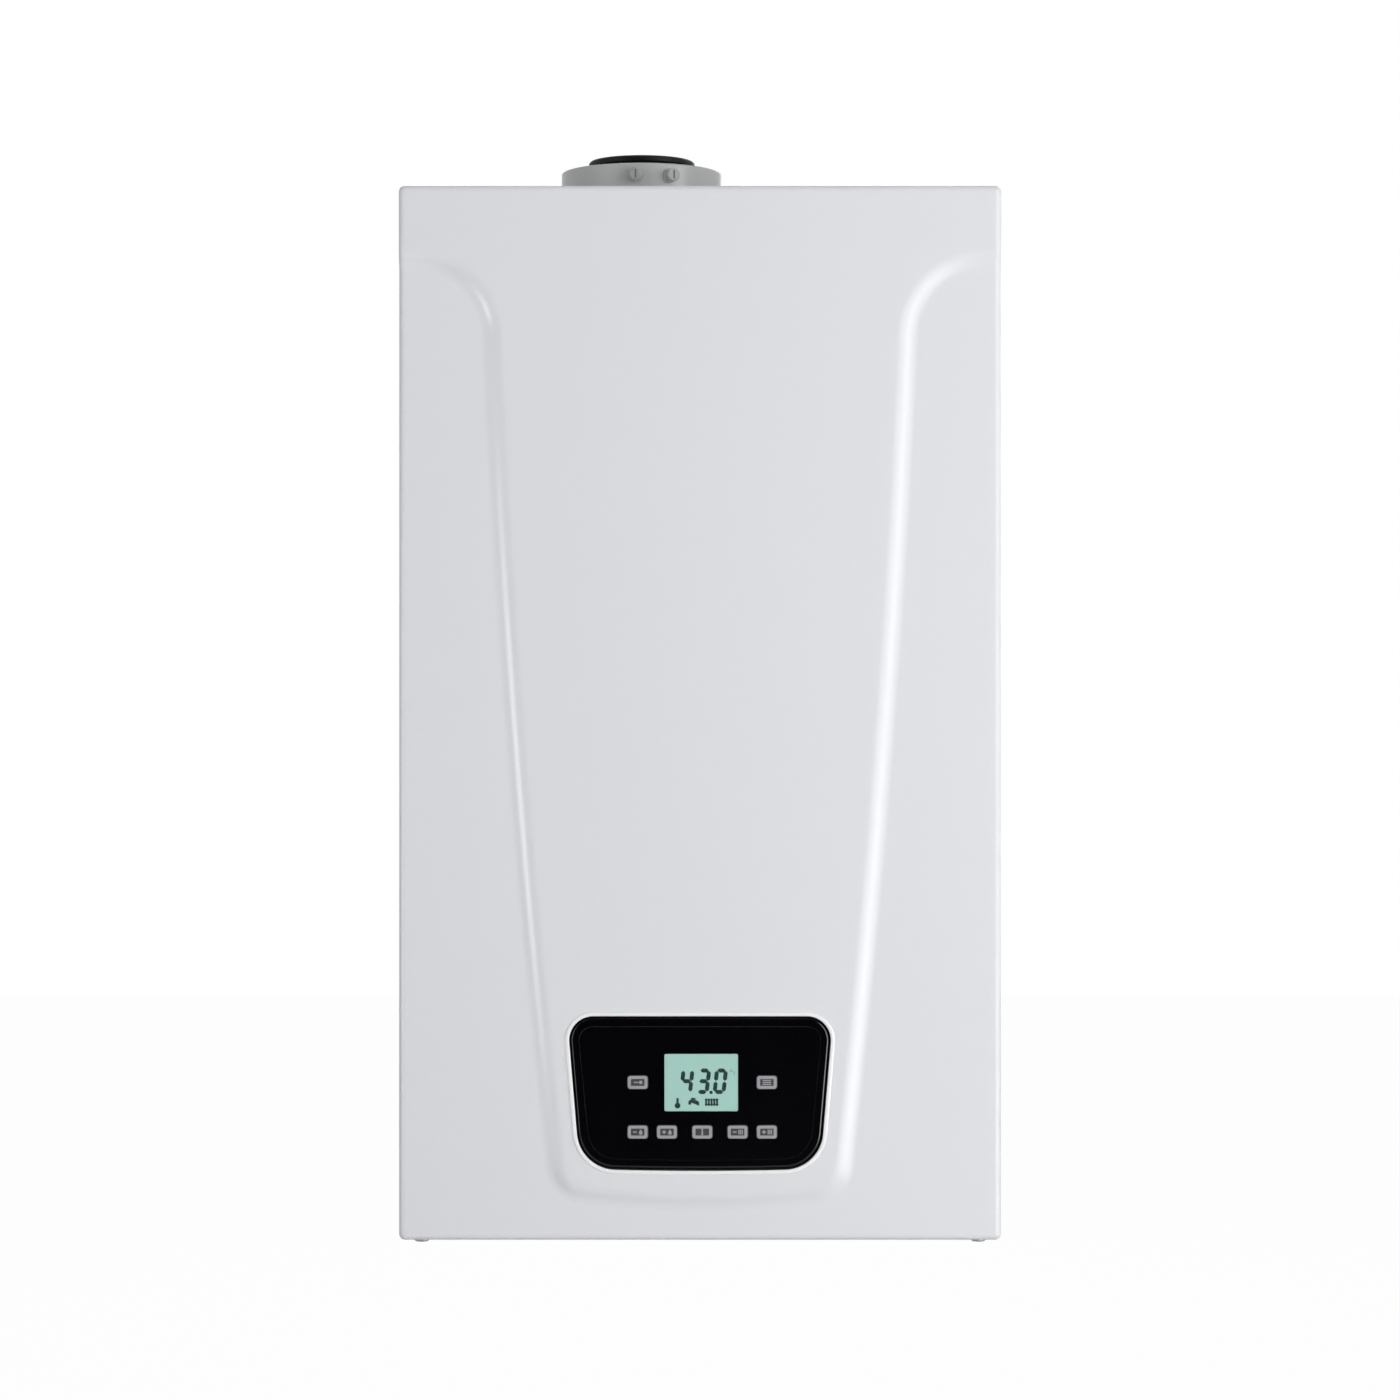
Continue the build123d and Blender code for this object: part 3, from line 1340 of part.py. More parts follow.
def block(side, riser_head):
    """Cast block for one side (+1 right, -1 left): a body over two tails with a riser."""
    with BuildPart() as cast:
        middle = (block_inner_x + block_outer_x) / 2
        with Locations((side * middle, tail_y, block_z)):
            Cylinder(block_radius, block_outer_x - block_inner_x, rotation=(0, 90, 0))
        chamfer(cast.edges().filter_by(GeomType.CIRCLE), block_round)
        for tail_x, thread_radius in tails.values():
            if tail_x * side > 0:
                with Locations((tail_x, tail_y, boss_foot)):
                    Cylinder(thread_radius + boss_wall, block_z - boss_foot, align=lift)
        with Locations((side * hex_port_x, tail_y, block_z)):
            Cylinder(riser_radius, riser_head - block_z, align=lift)
        chamfer(cast.faces().filter_by(Axis.Z).sort_by(Axis.Z)[-1].edges(), boss_wall)
        # necks to the plate exchanger
        with BuildSketch(front(hex_front)):
            with Locations((side * hex_port_x, hex_port_low), (side * hex_port_x, hex_port_high)):
                Circle(hex_port_radius)
        extrude(amount=-tail_y - hex_front - riser_radius / 2)
    return cast


flow_stub_x = flow_port_x - flow_stub_shift
cast_left = block(-1, hex_port_high + 14)
with BuildPart() as flow_block:
    add(cast_left.part)
    # seat for the diverter's motor and socket for the flow pipe
    with Locations((diverter_x, tail_y, block_z)):
        Cylinder(block_radius - boss_wall, block_radius + diverter_seat, align=lift)
    with Locations((flow_stub_x, pipe_y, block_z)):
        Cylinder(heating_pipe_radius + socket_wall_thick, flow_stub_height, align=lift)
flow_block.part.label = "flow_block"
export_step(flow_block.part, "parts/flow_block.step")

with BuildPart() as diverter_motor:
    with Locations((diverter_x, tail_y, block_z + block_radius + diverter_seat)):
        Box(diverter_width, diverter_depth, diverter_height, align=lift)
    fillet(diverter_motor.edges().filter_by(Axis.Z), diverter_round)
    chamfer(diverter_motor.faces().sort_by(Axis.Z)[-1].edges(), diverter_round / 3)
    with Locations((diverter_x, tail_y - diverter_depth / 2, block_z + block_radius + 20)):
        Box(22, 9, 12, align=(Align.CENTER, Align.MAX, Align.MIN))
diverter_motor.part.label = "diverter_motor"
export_step(diverter_motor.part, "parts/diverter_motor.step")

pump_y = tail_y
volute_front = -pump_y + volute_depth / 2
pump_stub_x = pump_x
vent_x = pump_x + 28
vent_foot = pump_z + 26
pump_head = pump_z + volute_radius
cast_right = block(1, hex_port_high + 14)
with BuildPart() as return_block:
    add(cast_right.part)
    # pump's volute, with its suction below, its outlet above and the vent's seat
    with BuildSketch(front(-pump_y - volute_depth / 2)):
        with Locations((pump_x, pump_z)):
            Circle(volute_radius)
    extrude(amount=volute_depth)
    chamfer(return_block.edges().filter_by(GeomType.CIRCLE).group_by(SortBy.RADIUS)[-1], block_round)
    with Locations((pump_x, pump_y, block_z)):
        Cylinder(block_radius - 3, pump_z - block_z, align=lift)
    with Locations((pump_stub_x, pump_y, pump_z)):
        Cylinder(heating_pipe_radius + 4, volute_radius + 12, align=lift)
    with Locations((vent_x, pump_y, pump_z)):
        Cylinder(vent_radius - 2, vent_foot - pump_z + 20, align=lift)
    # seat of the safety valve
    with BuildSketch(front(-tail_y)):
        with Locations((relief_x, block_z)):
            Circle(relief_radius + 2)
    extrude(amount=block_radius + 3)
    # seat of the filling tap's pipe
    with Locations((block_inner_x, tail_y, block_z)):
        Cylinder(7, 12, rotation=(0, 90, 0))
return_block.part.label = "return_block"
export_step(return_block.part, "parts/return_block.step")

with BuildPart() as pump_motor:
    with BuildSketch(front(volute_front)):
        with Locations((pump_x, pump_z)):
            Circle(pump_motor_radius)
    extrude(amount=pump_motor_depth)
    fillet(pump_motor.faces().sort_by(Axis.Y)[0].edges(), 6)
    # flange with four screw pads, terminal box and vent plug
    with BuildSketch(front(volute_front)):
        with Locations((pump_x, pump_z)):
            Circle(pump_motor_radius + 3)
            with PolarLocations(pump_motor_radius + 2, 4, start_angle=45):
                Circle(6)
    extrude(amount=7)
    with Locations((pump_x, -(volute_front + pump_motor_depth * 0.5), pump_z - pump_motor_radius + 6)):
        Box(54, 44, 15, align=(Align.CENTER, Align.CENTER, Align.MAX))
    with BuildSketch(front(volute_front + pump_motor_depth)):
        with Locations((pump_x, pump_z)):
            Circle(9)
    extrude(amount=3)
    with BuildSketch(front(volute_front + pump_motor_depth + 3)):
        with Locations((pump_x, pump_z)):
            Rectangle(12, 1.6)
    extrude(amount=-1.6, mode=Mode.SUBTRACT)
pump_motor.part.label = "pump_motor"
export_step(pump_motor.part, "parts/pump_motor.step")

with BuildPart() as plate_exchanger:
    hex_middle = block_z + 18
    with BuildSketch(front(hex_back)):
        with Locations((0, hex_middle)):
            RectangleRounded(hex_length, hex_height, 16)
    extrude(amount=3)
    for index in range(hex_plates):
        with BuildSketch(front(hex_back + 3 + index * hex_plate_pitch)):
            with Locations((0, hex_middle)):
                RectangleRounded(hex_length - 2, hex_height - 2, 15)
        extrude(amount=hex_plate_pitch * 0.6)
        with BuildSketch(front(hex_back + 3 + index * hex_plate_pitch + hex_plate_pitch * 0.6)):
            with Locations((0, hex_middle)):
                RectangleRounded(hex_length - 5, hex_height - 5, 13.5)
        extrude(amount=hex_plate_pitch * 0.4)
    with BuildSketch(front(hex_front - 3)):
        with Locations((0, hex_middle)):
            RectangleRounded(hex_length, hex_height, 16)
    extrude(amount=3)
plate_exchanger.part.label = "plate_exchanger"
export_step(plate_exchanger.part, "parts/plate_exchanger.step")

with BuildPart() as heating_pipes:
    # flow pipe, from the cell down to the left block
    add(
        tube_along(
            (
                (flow_port_x, pipe_y, cell_z - port_drop - 15),
                (flow_port_x, pipe_y, cell_z - port_drop - 35),
                (flow_stub_x, pipe_y, cell_z - port_drop - 75),
                (flow_stub_x, pipe_y, block_z + flow_stub_height),
            ),
            heating_pipe_radius,
            16,
        )
    )
    # return pipe, from the pump up to the cell
    return_foot = pump_head + 12
    return_head = cell_z - port_drop - 15
    add(
        tube_along(
            (
                (pump_stub_x, pump_y, return_foot),
                (pump_stub_x, pump_y, return_foot + (return_head - return_foot) * 0.33),
                (return_port_x, pipe_y, return_foot + (return_head - return_foot) * 0.77),
                (return_port_x, pipe_y, return_head),
            ),
            heating_pipe_radius,
            16,
        )
    )
    # vessel pipe, from the vessel's foot to the back of the right block
    add(
        tube_along(
            (
                (0, vessel_pipe_y, vessel_foot - 6),
                (0, vessel_pipe_y, vessel_foot - 30),
                (hex_length / 2 + 12, vessel_pipe_y, vessel_foot - 80),
                (hex_length / 2 + 12, vessel_pipe_y, block_z),
                (hex_length / 2 + 12, -block_back, block_z),
            ),
            vessel_pipe_radius,
            12,
        )
    )
heating_pipes.part.label = "heating_pipes"
export_step(heating_pipes.part, "parts/heating_pipes.step")

with BuildPart() as air_vent:
    with Locations((vent_x, pump_y, vent_foot + 20)):
        Cylinder(vent_radius, vent_height, align=lift)
    fillet(air_vent.faces().sort_by(Axis.Z)[-1].edges(), 3)
    with Locations((vent_x, pump_y, vent_foot + 20 + vent_height)):
        Cylinder(vent_cap_radius - 2, 3, align=lift)
air_vent.part.label = "air_vent"
export_step(air_vent.part, "parts/air_vent.step")

vent_cap_foot = vent_foot + 20 + vent_height + 3
with BuildPart() as air_vent_cap:
    with Locations((vent_x, pump_y, vent_cap_foot)):
        Cylinder(vent_cap_radius, vent_cap_height, align=lift)
    with BuildSketch(Plane.XY.offset(vent_cap_foot)):
        with Locations((vent_x, pump_y)):
            with PolarLocations(vent_cap_radius, 12):
                Circle(0.6)
    extrude(amount=vent_cap_height, mode=Mode.SUBTRACT)
air_vent_cap.part.label = "air_vent_cap"
export_step(air_vent_cap.part, "parts/air_vent_cap.step")

relief_seat = -tail_y + block_radius + 3
with BuildPart() as safety_valve:
    with BuildSketch(front(relief_seat)):
        with Locations((relief_x, block_z)):
            RegularPolygon(relief_radius, 6, major_radius=False)
    extrude(amount=10)
    with BuildSketch(front(relief_seat + 10)):
        with Locations((relief_x, block_z)):
            Circle(relief_radius - 1)
    extrude(amount=relief_length - 10)
    # discharge branch
    with Locations((relief_x, -(relief_seat + 16), block_z)):
        Cylinder(7, 26, align=hang)
safety_valve.part.label = "safety_valve"
export_step(safety_valve.part, "parts/safety_valve.step")

relief_knob_seat = relief_seat + relief_length
with BuildPart() as safety_valve_knob:
    with BuildSketch(front(relief_knob_seat)):
        with Locations((relief_x, block_z)):
            Circle(relief_knob_radius)
            with PolarLocations(relief_knob_radius + 1.5, 6):
                Circle(4, mode=Mode.SUBTRACT)
    extrude(amount=relief_knob_depth)
    chamfer(safety_valve_knob.faces().sort_by(Axis.Y)[0].edges(), 1)
safety_valve_knob.part.label = "safety_valve_knob"
export_step(safety_valve_knob.part, "parts/safety_valve_knob.step")

fill_top = plate_top + 26
with BuildPart() as filling_tap:
    with Locations((fill_x, fill_y, plate_z - 2)):
        Cylinder(fill_radius, fill_top - plate_z + 2, align=lift)
    with BuildSketch(Plane.XY.offset(plate_top)):
        with Locations((fill_x, fill_y)):
            RegularPolygon(fill_radius + 3, 6, major_radius=False)
    extrude(amount=9)
    add(
        tube_along(
            (
                (fill_x, fill_y, fill_top - 1),
                (fill_x, fill_y, fill_top + 18),
                (fill_x, tail_y, block_z),
                (block_inner_x - 6, tail_y, block_z),
            ),
            4,
            6,
        )
    )
filling_tap.part.label = "filling_tap"
export_step(filling_tap.part, "parts/filling_tap.step")

with BuildPart() as filling_tap_knob:
    with BuildSketch(Plane.XY.offset(plate_z - 2)):
        with Locations((fill_x, fill_y)):
            Circle(fill_knob_radius)
            with PolarLocations(fill_knob_radius + 2, 8):
                Circle(3.5, mode=Mode.SUBTRACT)
    extrude(amount=-fill_knob_height)
    chamfer(filling_tap_knob.faces().sort_by(Axis.Z)[0].edges(), 1)
filling_tap_knob.part.label = "filling_tap_knob"
export_step(filling_tap_knob.part, "parts/filling_tap_knob.step")

gauge_face = plate_top - gauge_height
with BuildPart() as pressure_gauge:
    with Locations((gauge_x, gauge_y, gauge_face)):
        Cylinder(gauge_radius, gauge_height + 5, align=lift)
        Cylinder(gauge_radius - 2, 5, align=lift, mode=Mode.SUBTRACT)
    with Locations((gauge_x, gauge_y, plate_top)):
        Cylinder(gauge_radius + 3, 2, align=lift)
    with Locations((gauge_x, gauge_y, plate_top + 5)):
        Cylinder(4, 8, align=lift)
    # raised marks round the dial
    with BuildSketch(Plane.XY.offset(gauge_face + 4.6)):
        with Locations((gauge_x, gauge_y)):
            with PolarLocations(gauge_radius - 4.5, 9, start_angle=-60, angular_range=300):
                Rectangle(3, 0.9)
    extrude(amount=0.4)
pressure_gauge.part.label = "pressure_gauge"
export_step(pressure_gauge.part, "parts/pressure_gauge.step")

with BuildPart() as gauge_needle:
    with BuildSketch(Plane.XY.offset(gauge_face + 2)):
        with Locations((gauge_x, gauge_y)):
            Circle(2.6)
            Rectangle(needle_length, 1.2, align=(Align.MIN, Align.CENTER))
            Rectangle(5, 2.2, align=(Align.MAX, Align.CENTER))
    extrude(amount=1)
    with Locations((gauge_x, gauge_y, gauge_face + 2)):
        Cylinder(1.2, 3, align=lift)
gauge_needle.part.label = "gauge_needle"
export_step(gauge_needle.part, "parts/gauge_needle.step")

spigot_top = plate_z - trap_spigot_gap
spigot_foot = spigot_top - trap_spigot_length
with BuildPart() as condensate_trap:
    with Locations((trap_x, trap_y, trap_foot)):
        Cylinder(trap_radius, trap_top - trap_foot, align=lift)
    chamfer(condensate_trap.faces().sort_by(Axis.Z)[-1].edges(), trap_ring_width)
    with Locations((trap_x, trap_y, trap_foot + trap_ring_rise)):
        Cylinder(trap_radius + trap_ring_width, trap_ring_height, align=lift)
    # neck through the connection plate, groove and spigot for the drain hose
    with Locations((trap_x, trap_y, trap_foot)):
        Cylinder(trap_neck_radius, trap_foot - spigot_top - trap_spigot_gap * 0.75, align=hang)
        Cylinder(trap_outlet_radius - trap_groove_depth, trap_foot - spigot_top, align=hang)
    with Locations((trap_x, trap_y, spigot_foot)):
        Cylinder(trap_outlet_radius, trap_spigot_length, align=lift)
        Cylinder(trap_outlet_radius - trap_bore_wall, trap_foot - spigot_foot, align=lift, mode=Mode.SUBTRACT)
    with Locations((trap_x, trap_y, trap_top)):
        Cylinder(drain_radius + trap_nipple_wall, trap_nipple_height, align=lift)
condensate_trap.part.label = "condensate_trap"
export_step(condensate_trap.part, "parts/condensate_trap.step")

with BuildPart() as condensate_hose:
    hose_top = cell_z - drum_radius - 15
    add(
        tube_along(
            (
                (drain_x, drain_y, hose_top),
                (drain_x, drain_y, hose_top - hose_run),
                (trap_x, trap_y, trap_top + hose_run),
                (trap_x, trap_y, trap_top + trap_nipple_height),
            ),
            drain_radius,
            hose_bend,
        )
    )
    with Locations((drain_x, drain_y, hose_top)):
        Cylinder(drain_radius + 2, 10, align=hang)
    with Locations((trap_x, trap_y, trap_top + trap_nipple_height)):
        Cylinder(drain_radius + 2, 10, align=lift)
condensate_hose.part.label = "condensate_hose"
export_step(condensate_hose.part, "parts/condensate_hose.step")


# ================================================================== control box
box_middle_z = box_foot + box_height / 2
with BuildPart() as control_housing:
    with BuildSketch(front(box_back + box_wall)):
        with Locations((0, box_middle_z)):
            RectangleRounded(box_width, box_height, box_corner)
    extrude(amount=box_depth - box_wall)
    with BuildSketch(front(box_back + box_wall)):
        with Locations((0, box_middle_z)):
            RectangleRounded(box_width - 2 * box_wall, box_height - 2 * box_wall, box_corner - box_wall)
    extrude(amount=box_depth - 2 * box_wall, mode=Mode.SUBTRACT)
    # opening behind the display, through which the ribbon passes
    with BuildSketch(front(box_front)):
        with Locations((0, key_row_low)):
            Rectangle(ribbon_width, ribbon_height)
    extrude(amount=-box_wall, mode=Mode.SUBTRACT)
    # posts for the main board and pads for the key board
    with BuildSketch(front(box_front - box_wall)):
        with Locations((0, box_middle_z)):
            with GridLocations(box_width - 2 * post_inset, box_height - 2 * post_inset, 2, 2):
                Circle(post_radius)
    extrude(amount=-(main_board_depth - box_wall))
    with BuildSketch(front(box_front)):
        with Locations((0, (key_row_high + key_row_low) / 2)):
            with GridLocations(pad_spread_x, pad_spread_z, 2, 2):
                Circle(pad_radius)
    extrude(amount=display_board - board_thick - box_front)
    # hinge lugs and trunnions
    with BuildSketch(Plane.YZ.offset(box_half - box_wall)):
        with Locations((pivot_y, pivot_z)):
            Circle(2 * trunnion_radius)
            Rectangle(4 * trunnion_radius, box_foot + lug_lap - pivot_z, align=(Align.CENTER, Align.MIN))
    extrude(amount=box_wall)
    with BuildSketch(Plane.YZ.offset(box_half)):
        with Locations((pivot_y, pivot_z)):
            Circle(trunnion_radius)
    extrude(amount=trunnion_length)
    with BuildSketch(Plane.YZ.offset(-box_half)):
        with Locations((pivot_y, pivot_z)):
            Circle(trunnion_radius)
    extrude(amount=-trunnion_length)
    with BuildSketch(Plane.YZ.offset(-box_half)):
        with Locations((pivot_y, pivot_z)):
            Circle(2 * trunnion_radius)
            Rectangle(4 * trunnion_radius, box_foot + lug_lap - pivot_z, align=(Align.CENTER, Align.MIN))
    extrude(amount=box_wall)
control_housing.part.label = "control_housing"
export_step(control_housing.part, "parts/control_housing.step")

with BuildPart() as control_back_cover:
    with BuildSketch(front(box_back)):
        with Locations((0, box_middle_z)):
            RectangleRounded(box_width, box_height, box_corner)
            with GridLocations(vent_slot_pitch, 0, vent_slot_count, 1):
                SlotOverall(vent_slot_length, vent_slot_width, rotation=90, mode=Mode.SUBTRACT)
    extrude(amount=box_wall)
    # cable grommets along the top
    with BuildSketch(front(box_back)):
        with Locations((0, box_middle_z + grommet_rise)):
            with GridLocations(grommet_pitch, 0, 3, 1):
                Circle(grommet_radius)
    extrude(amount=-grommet_depth)
control_back_cover.part.label = "control_back_cover"
export_step(control_back_cover.part, "parts/control_back_cover.step")

with BuildPart() as main_board:
    board_face = box_front - main_board_depth
    with BuildSketch(front(board_face - board_thick)):
        with Locations((0, box_middle_z)):
            Rectangle(box_width - 2 * board_margin, box_height - 2 * board_margin)
    extrude(amount=board_thick)
    # transformer, relays, capacitors and terminal strips, on the side away from the fascia
    part_seat = board_face - board_thick
    inwards = (Align.CENTER, Align.MIN, Align.CENTER)
    with Locations((transformer_x, -part_seat, box_middle_z + transformer_rise)):
        Box(transformer_width, transformer_depth, transformer_height, align=inwards)
    with Locations((power_terminal_x, -part_seat, box_middle_z - terminal_drop)):
        Box(power_terminal_width, terminal_depth, power_terminal_height, align=inwards)
    with Locations((signal_terminal_x, -part_seat, box_middle_z - terminal_drop)):
        Box(signal_terminal_width, terminal_depth, signal_terminal_height, align=inwards)
    with BuildSketch(front(part_seat)):
        for index in range(3):
            with Locations((relay_first_x + index * relay_pitch, box_middle_z + relay_rise)):
                Rectangle(relay_width, relay_height)
        for index in range(2):
            with Locations((capacitor_first_x + index * capacitor_pitch, box_middle_z + relay_rise)):
                Circle(capacitor_radius)
    extrude(amount=-relay_depth)
    with BuildSketch(front(part_seat)):
        with Locations((processor_x, box_middle_z - processor_drop)):
            Rectangle(processor_width, processor_width)
    extrude(amount=-processor_depth)
main_board.part.label = "main_board"
export_step(main_board.part, "parts/main_board.step")

with BuildPart() as control_fascia:
    with BuildSketch(front(box_front)):
        add(window_outline(-fascia_gap))
    extrude(amount=fascia_face - field_step - box_front)
    fillet(control_fascia.faces().sort_by(Axis.Y)[0].edges(), fascia_crown)
    # the field with the keys and the display stands slightly above the border
    with BuildSketch(front(fascia_face - field_step)):
        add(window_outline(-fascia_gap - field_inset))
    extrude(amount=field_step)
    chamfer(control_fascia.faces().sort_by(Axis.Y)[0].edges(), field_step * 0.75)
    with BuildSketch(front(box_front)):
        add(window_outline(-fascia_gap - fascia_skin))
    extrude(amount=fascia_back - box_front, mode=Mode.SUBTRACT)
    with BuildSketch(front(fascia_back - 1)):
        with Locations((display_x, display_z)):
            RectangleRounded(display_width, display_height, 1.2)
        for key_x, key_z in keys.values():
            with Locations((key_x, key_z)):
                RectangleRounded(key_width + 2 * key_play, key_height + 2 * key_play, key_corner + key_play)
    extrude(amount=fascia_skin + 2, mode=Mode.SUBTRACT)
control_fascia.part.label = "control_fascia"
export_step(control_fascia.part, "parts/control_fascia.step")

with BuildPart() as display_glass:
    glass_width = display_width - 2 * display_play
    glass_height = display_height - 2 * display_play
    with BuildSketch(front(fascia_back)):
        with Locations((display_x, display_z)):
            RectangleRounded(glass_width, glass_height, 1.0)
    extrude(amount=fascia_skin - 0.2)
    with BuildSketch(front(fascia_back)):
        with Locations((display_x, display_z)):
            Rectangle(display_width + 2 * display_lap, display_height + 2 * display_lap)
    extrude(amount=-display_shoulder)
display_glass.part.label = "display_glass"
export_step(display_glass.part, "parts/display_glass.step")

board_half = window_foot_half - key_board_margin
board_foot = window_foot_z + key_board_foot_margin
board_head = window_top_z - key_board_margin
with BuildPart() as control_board:
    with BuildSketch(front(display_board - board_thick)):
        with Locations((0, (board_foot + board_head) / 2)):
            RectangleRounded(2 * board_half, board_head - board_foot, key_board_corner)
    extrude(amount=board_thick)
    # display module
    with BuildSketch(front(display_board)):
        with Locations((display_x, display_z)):
            Rectangle(display_width + 2 * display_lap, display_height + 2 * display_lap)
    extrude(amount=fascia_back - display_shoulder - display_board)
control_board.part.label = "control_board"
export_step(control_board.part, "parts/control_board.step")

with BuildPart() as key_mat:
    with BuildSketch(front(display_board)):
        with Locations((0, (key_row_high + key_row_low) / 2)):
            Rectangle(2 * (board_half - mat_margin), mat_height)
        with Locations((display_x, display_z)):
            Rectangle(
                display_width + 2 * mat_display_gap, display_height + 2 * mat_display_clear, mode=Mode.SUBTRACT
            )
        with Locations((key_centre_x, key_row_low)):
            Rectangle(key_width + 2 * mat_row_reach, key_height + 2 * mat_row_margin)
    extrude(amount=mat_thick)
key_mat.part.label = "key_mat"
export_step(key_mat.part, "parts/key_mat.step")


# each key is a flange behind the fascia and a cap that stands through it
for key_name, (key_x, key_z) in keys.items():
    with BuildPart() as key:
        with BuildSketch(front(key_flange_back)):
            with Locations((key_x, key_z)):
                RectangleRounded(key_width + 2, key_height + 2, key_corner + 1)
        extrude(amount=key_flange)
        with BuildSketch(front(fascia_back)):
            with Locations((key_x, key_z)):
                RectangleRounded(key_width, key_height, key_corner)
        extrude(amount=fascia_skin + key_proud)
        fillet(key.faces().sort_by(Axis.Y)[0].edges(), 0.5)
    key.part.label = key_name
    export_step(key.part, f"parts/{key_name}.step")
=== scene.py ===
"""Looks of the wall-hung combi boiler.

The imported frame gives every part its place. This script adds the dressed front cover with its pressed
shield and raised window rim, the printed marks on the panel, the finishes, the light and the camera.
Lengths of the object are written in millimetres and become metres where a mesh is made. The sizes in
finishes, the floor, the lights and the camera are in metres. +Z is up, the wall is at y = 0 and the room
lies towards -y.
"""

import math

import bpy
import numpy as np
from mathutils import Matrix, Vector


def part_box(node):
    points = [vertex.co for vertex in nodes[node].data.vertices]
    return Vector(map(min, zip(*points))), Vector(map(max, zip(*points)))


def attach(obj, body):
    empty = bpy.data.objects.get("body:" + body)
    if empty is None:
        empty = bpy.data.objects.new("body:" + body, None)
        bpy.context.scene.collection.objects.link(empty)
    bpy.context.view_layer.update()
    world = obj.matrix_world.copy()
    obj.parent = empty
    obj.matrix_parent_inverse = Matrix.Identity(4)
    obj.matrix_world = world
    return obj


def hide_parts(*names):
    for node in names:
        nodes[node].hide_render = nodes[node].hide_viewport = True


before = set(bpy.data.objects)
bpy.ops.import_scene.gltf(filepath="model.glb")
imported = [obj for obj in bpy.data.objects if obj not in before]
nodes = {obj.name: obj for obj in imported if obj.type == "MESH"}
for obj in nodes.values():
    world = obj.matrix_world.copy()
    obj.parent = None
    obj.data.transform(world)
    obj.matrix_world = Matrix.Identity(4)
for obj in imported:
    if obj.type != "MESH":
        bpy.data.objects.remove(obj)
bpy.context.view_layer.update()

MM = 0.001

# ------------------------------------------------------------------ sizes of the cover, in mm
RIM_WIDTH = 2.6
RIM_HEIGHT = 0.9
SHEET = 1.0
EDGE_RADIUS = 4.0
COVER_BACK = 259.0

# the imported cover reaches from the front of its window's rim to the tips of its two studs
cover_low, cover_high = (np.array(corner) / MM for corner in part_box("front_cover"))
CASE_WIDTH = round(cover_high[0] - cover_low[0], 2)
CASE_HEIGHT = round(cover_high[2], 2)
CASE_DEPTH = round(-cover_low[1] - RIM_HEIGHT, 2)
STUD_TIP = round(-cover_high[1], 2)
BORDER = CASE_WIDTH / 2 - EDGE_RADIUS

SHIELD_HEIGHT = 4.0
SHIELD_BEND = 16.0
WING_BEND = 15.0
BEVEL_WIDTH = 8.0
SHOULDER_Z = 651.0
SHOULDER_RADIUS = 52.0
SHOULDER_START = SHOULDER_Z - SHOULDER_RADIUS
WAIST_HALF = 138.0
FOOT_HALF = 94.0
FOOT_Z = 33.0
FOOT_RADIUS = 20.0
SIDE_BULGE = 4.9
SOLE_DROP = 7.0
# where the shield's open outline ends, outside the case
FAR_X = 260.0
FAR_Z = 760.0

WINDOW_TOP = (88.1, 149.2)
WINDOW_FOOT = (79.7, 48.2)
WINDOW_SOLE_DROP = 1.4
WINDOW_TOP_RADIUS = 16.0
WINDOW_FOOT_RADIUS = 26.0
WINDOW_POINTS = 500

STUD_RADIUS = 3.0
STUD_X = 165.0
STUD_Z = 680.0

# the face's grid: fine stations lie along the shield's edge, its foot and its shoulders
EDGE_BAND = 7.0
FOOT_BAND = (20.0, 56.0)
SHOULDER_BAND = (590.0, 662.0)
FINE_STEP = 0.75
# up to the first x the grid's lines lean out to follow the shield's edge, from the second they lean back
LEAN_IN = 122.0
LEAN_OUT = 152.0


# ------------------------------------------------------------------ numpy helpers
def run(start, end, bow, steps):
    """Points from start to end on a shallow parabola.

    The middle stands off the chord by bow, to the right of the way from start to end:
    point(t) = start + t (end - start) + 4 bow t (1 - t) normal.
    """
    start, end = np.array(start, float), np.array(end, float)
    t = np.linspace(0.0, 1.0, steps)[:, None]
    along = end - start
    normal = np.array([along[1], -along[0]]) / np.hypot(*along)
    return start + t * along + 4.0 * bow * t * (1.0 - t) * normal


def arc(centre, radius, start, end, steps):
    """Points on a circle: centre + radius (cos a, sin a), with a from start to end in degrees."""
    angle = np.radians(np.linspace(start, end, steps))
    return np.stack([centre[0] + radius * np.cos(angle), centre[1] + radius * np.sin(angle)], axis=1)


def rounded(first, second, radius, steps):
    """Two curves that meet in a corner, with the corner turned into an arc of this radius.

    Both curves are shifted inwards by the radius; where the shifted curves come nearest each other is
    the arc's centre, and the arc runs between the two points that were shifted there.
    """
    shifted = []
    for curve in (first, second):
        way = np.gradient(curve, axis=0)
        way /= np.hypot(way[:, 0], way[:, 1])[:, None]
        shifted.append(curve + radius * np.stack([-way[:, 1], way[:, 0]], axis=1))
    gap = np.linalg.norm(shifted[0][:, None, :] - shifted[1][None, :, :], axis=2)
    i, j = np.unravel_index(np.argmin(gap), gap.shape)
    centre = 0.5 * (shifted[0][i] + shifted[1][j])
    a = math.atan2(*(first[i] - centre)[::-1])
    b = math.atan2(*(second[j] - centre)[::-1])
    if b < a:
        b += 2.0 * math.pi
    angle = np.linspace(a, b, steps)
    bend = centre + radius * np.stack([np.cos(angle), np.sin(angle)], axis=1)
    return np.concatenate([first[:i], bend]), second[j + 1 :]


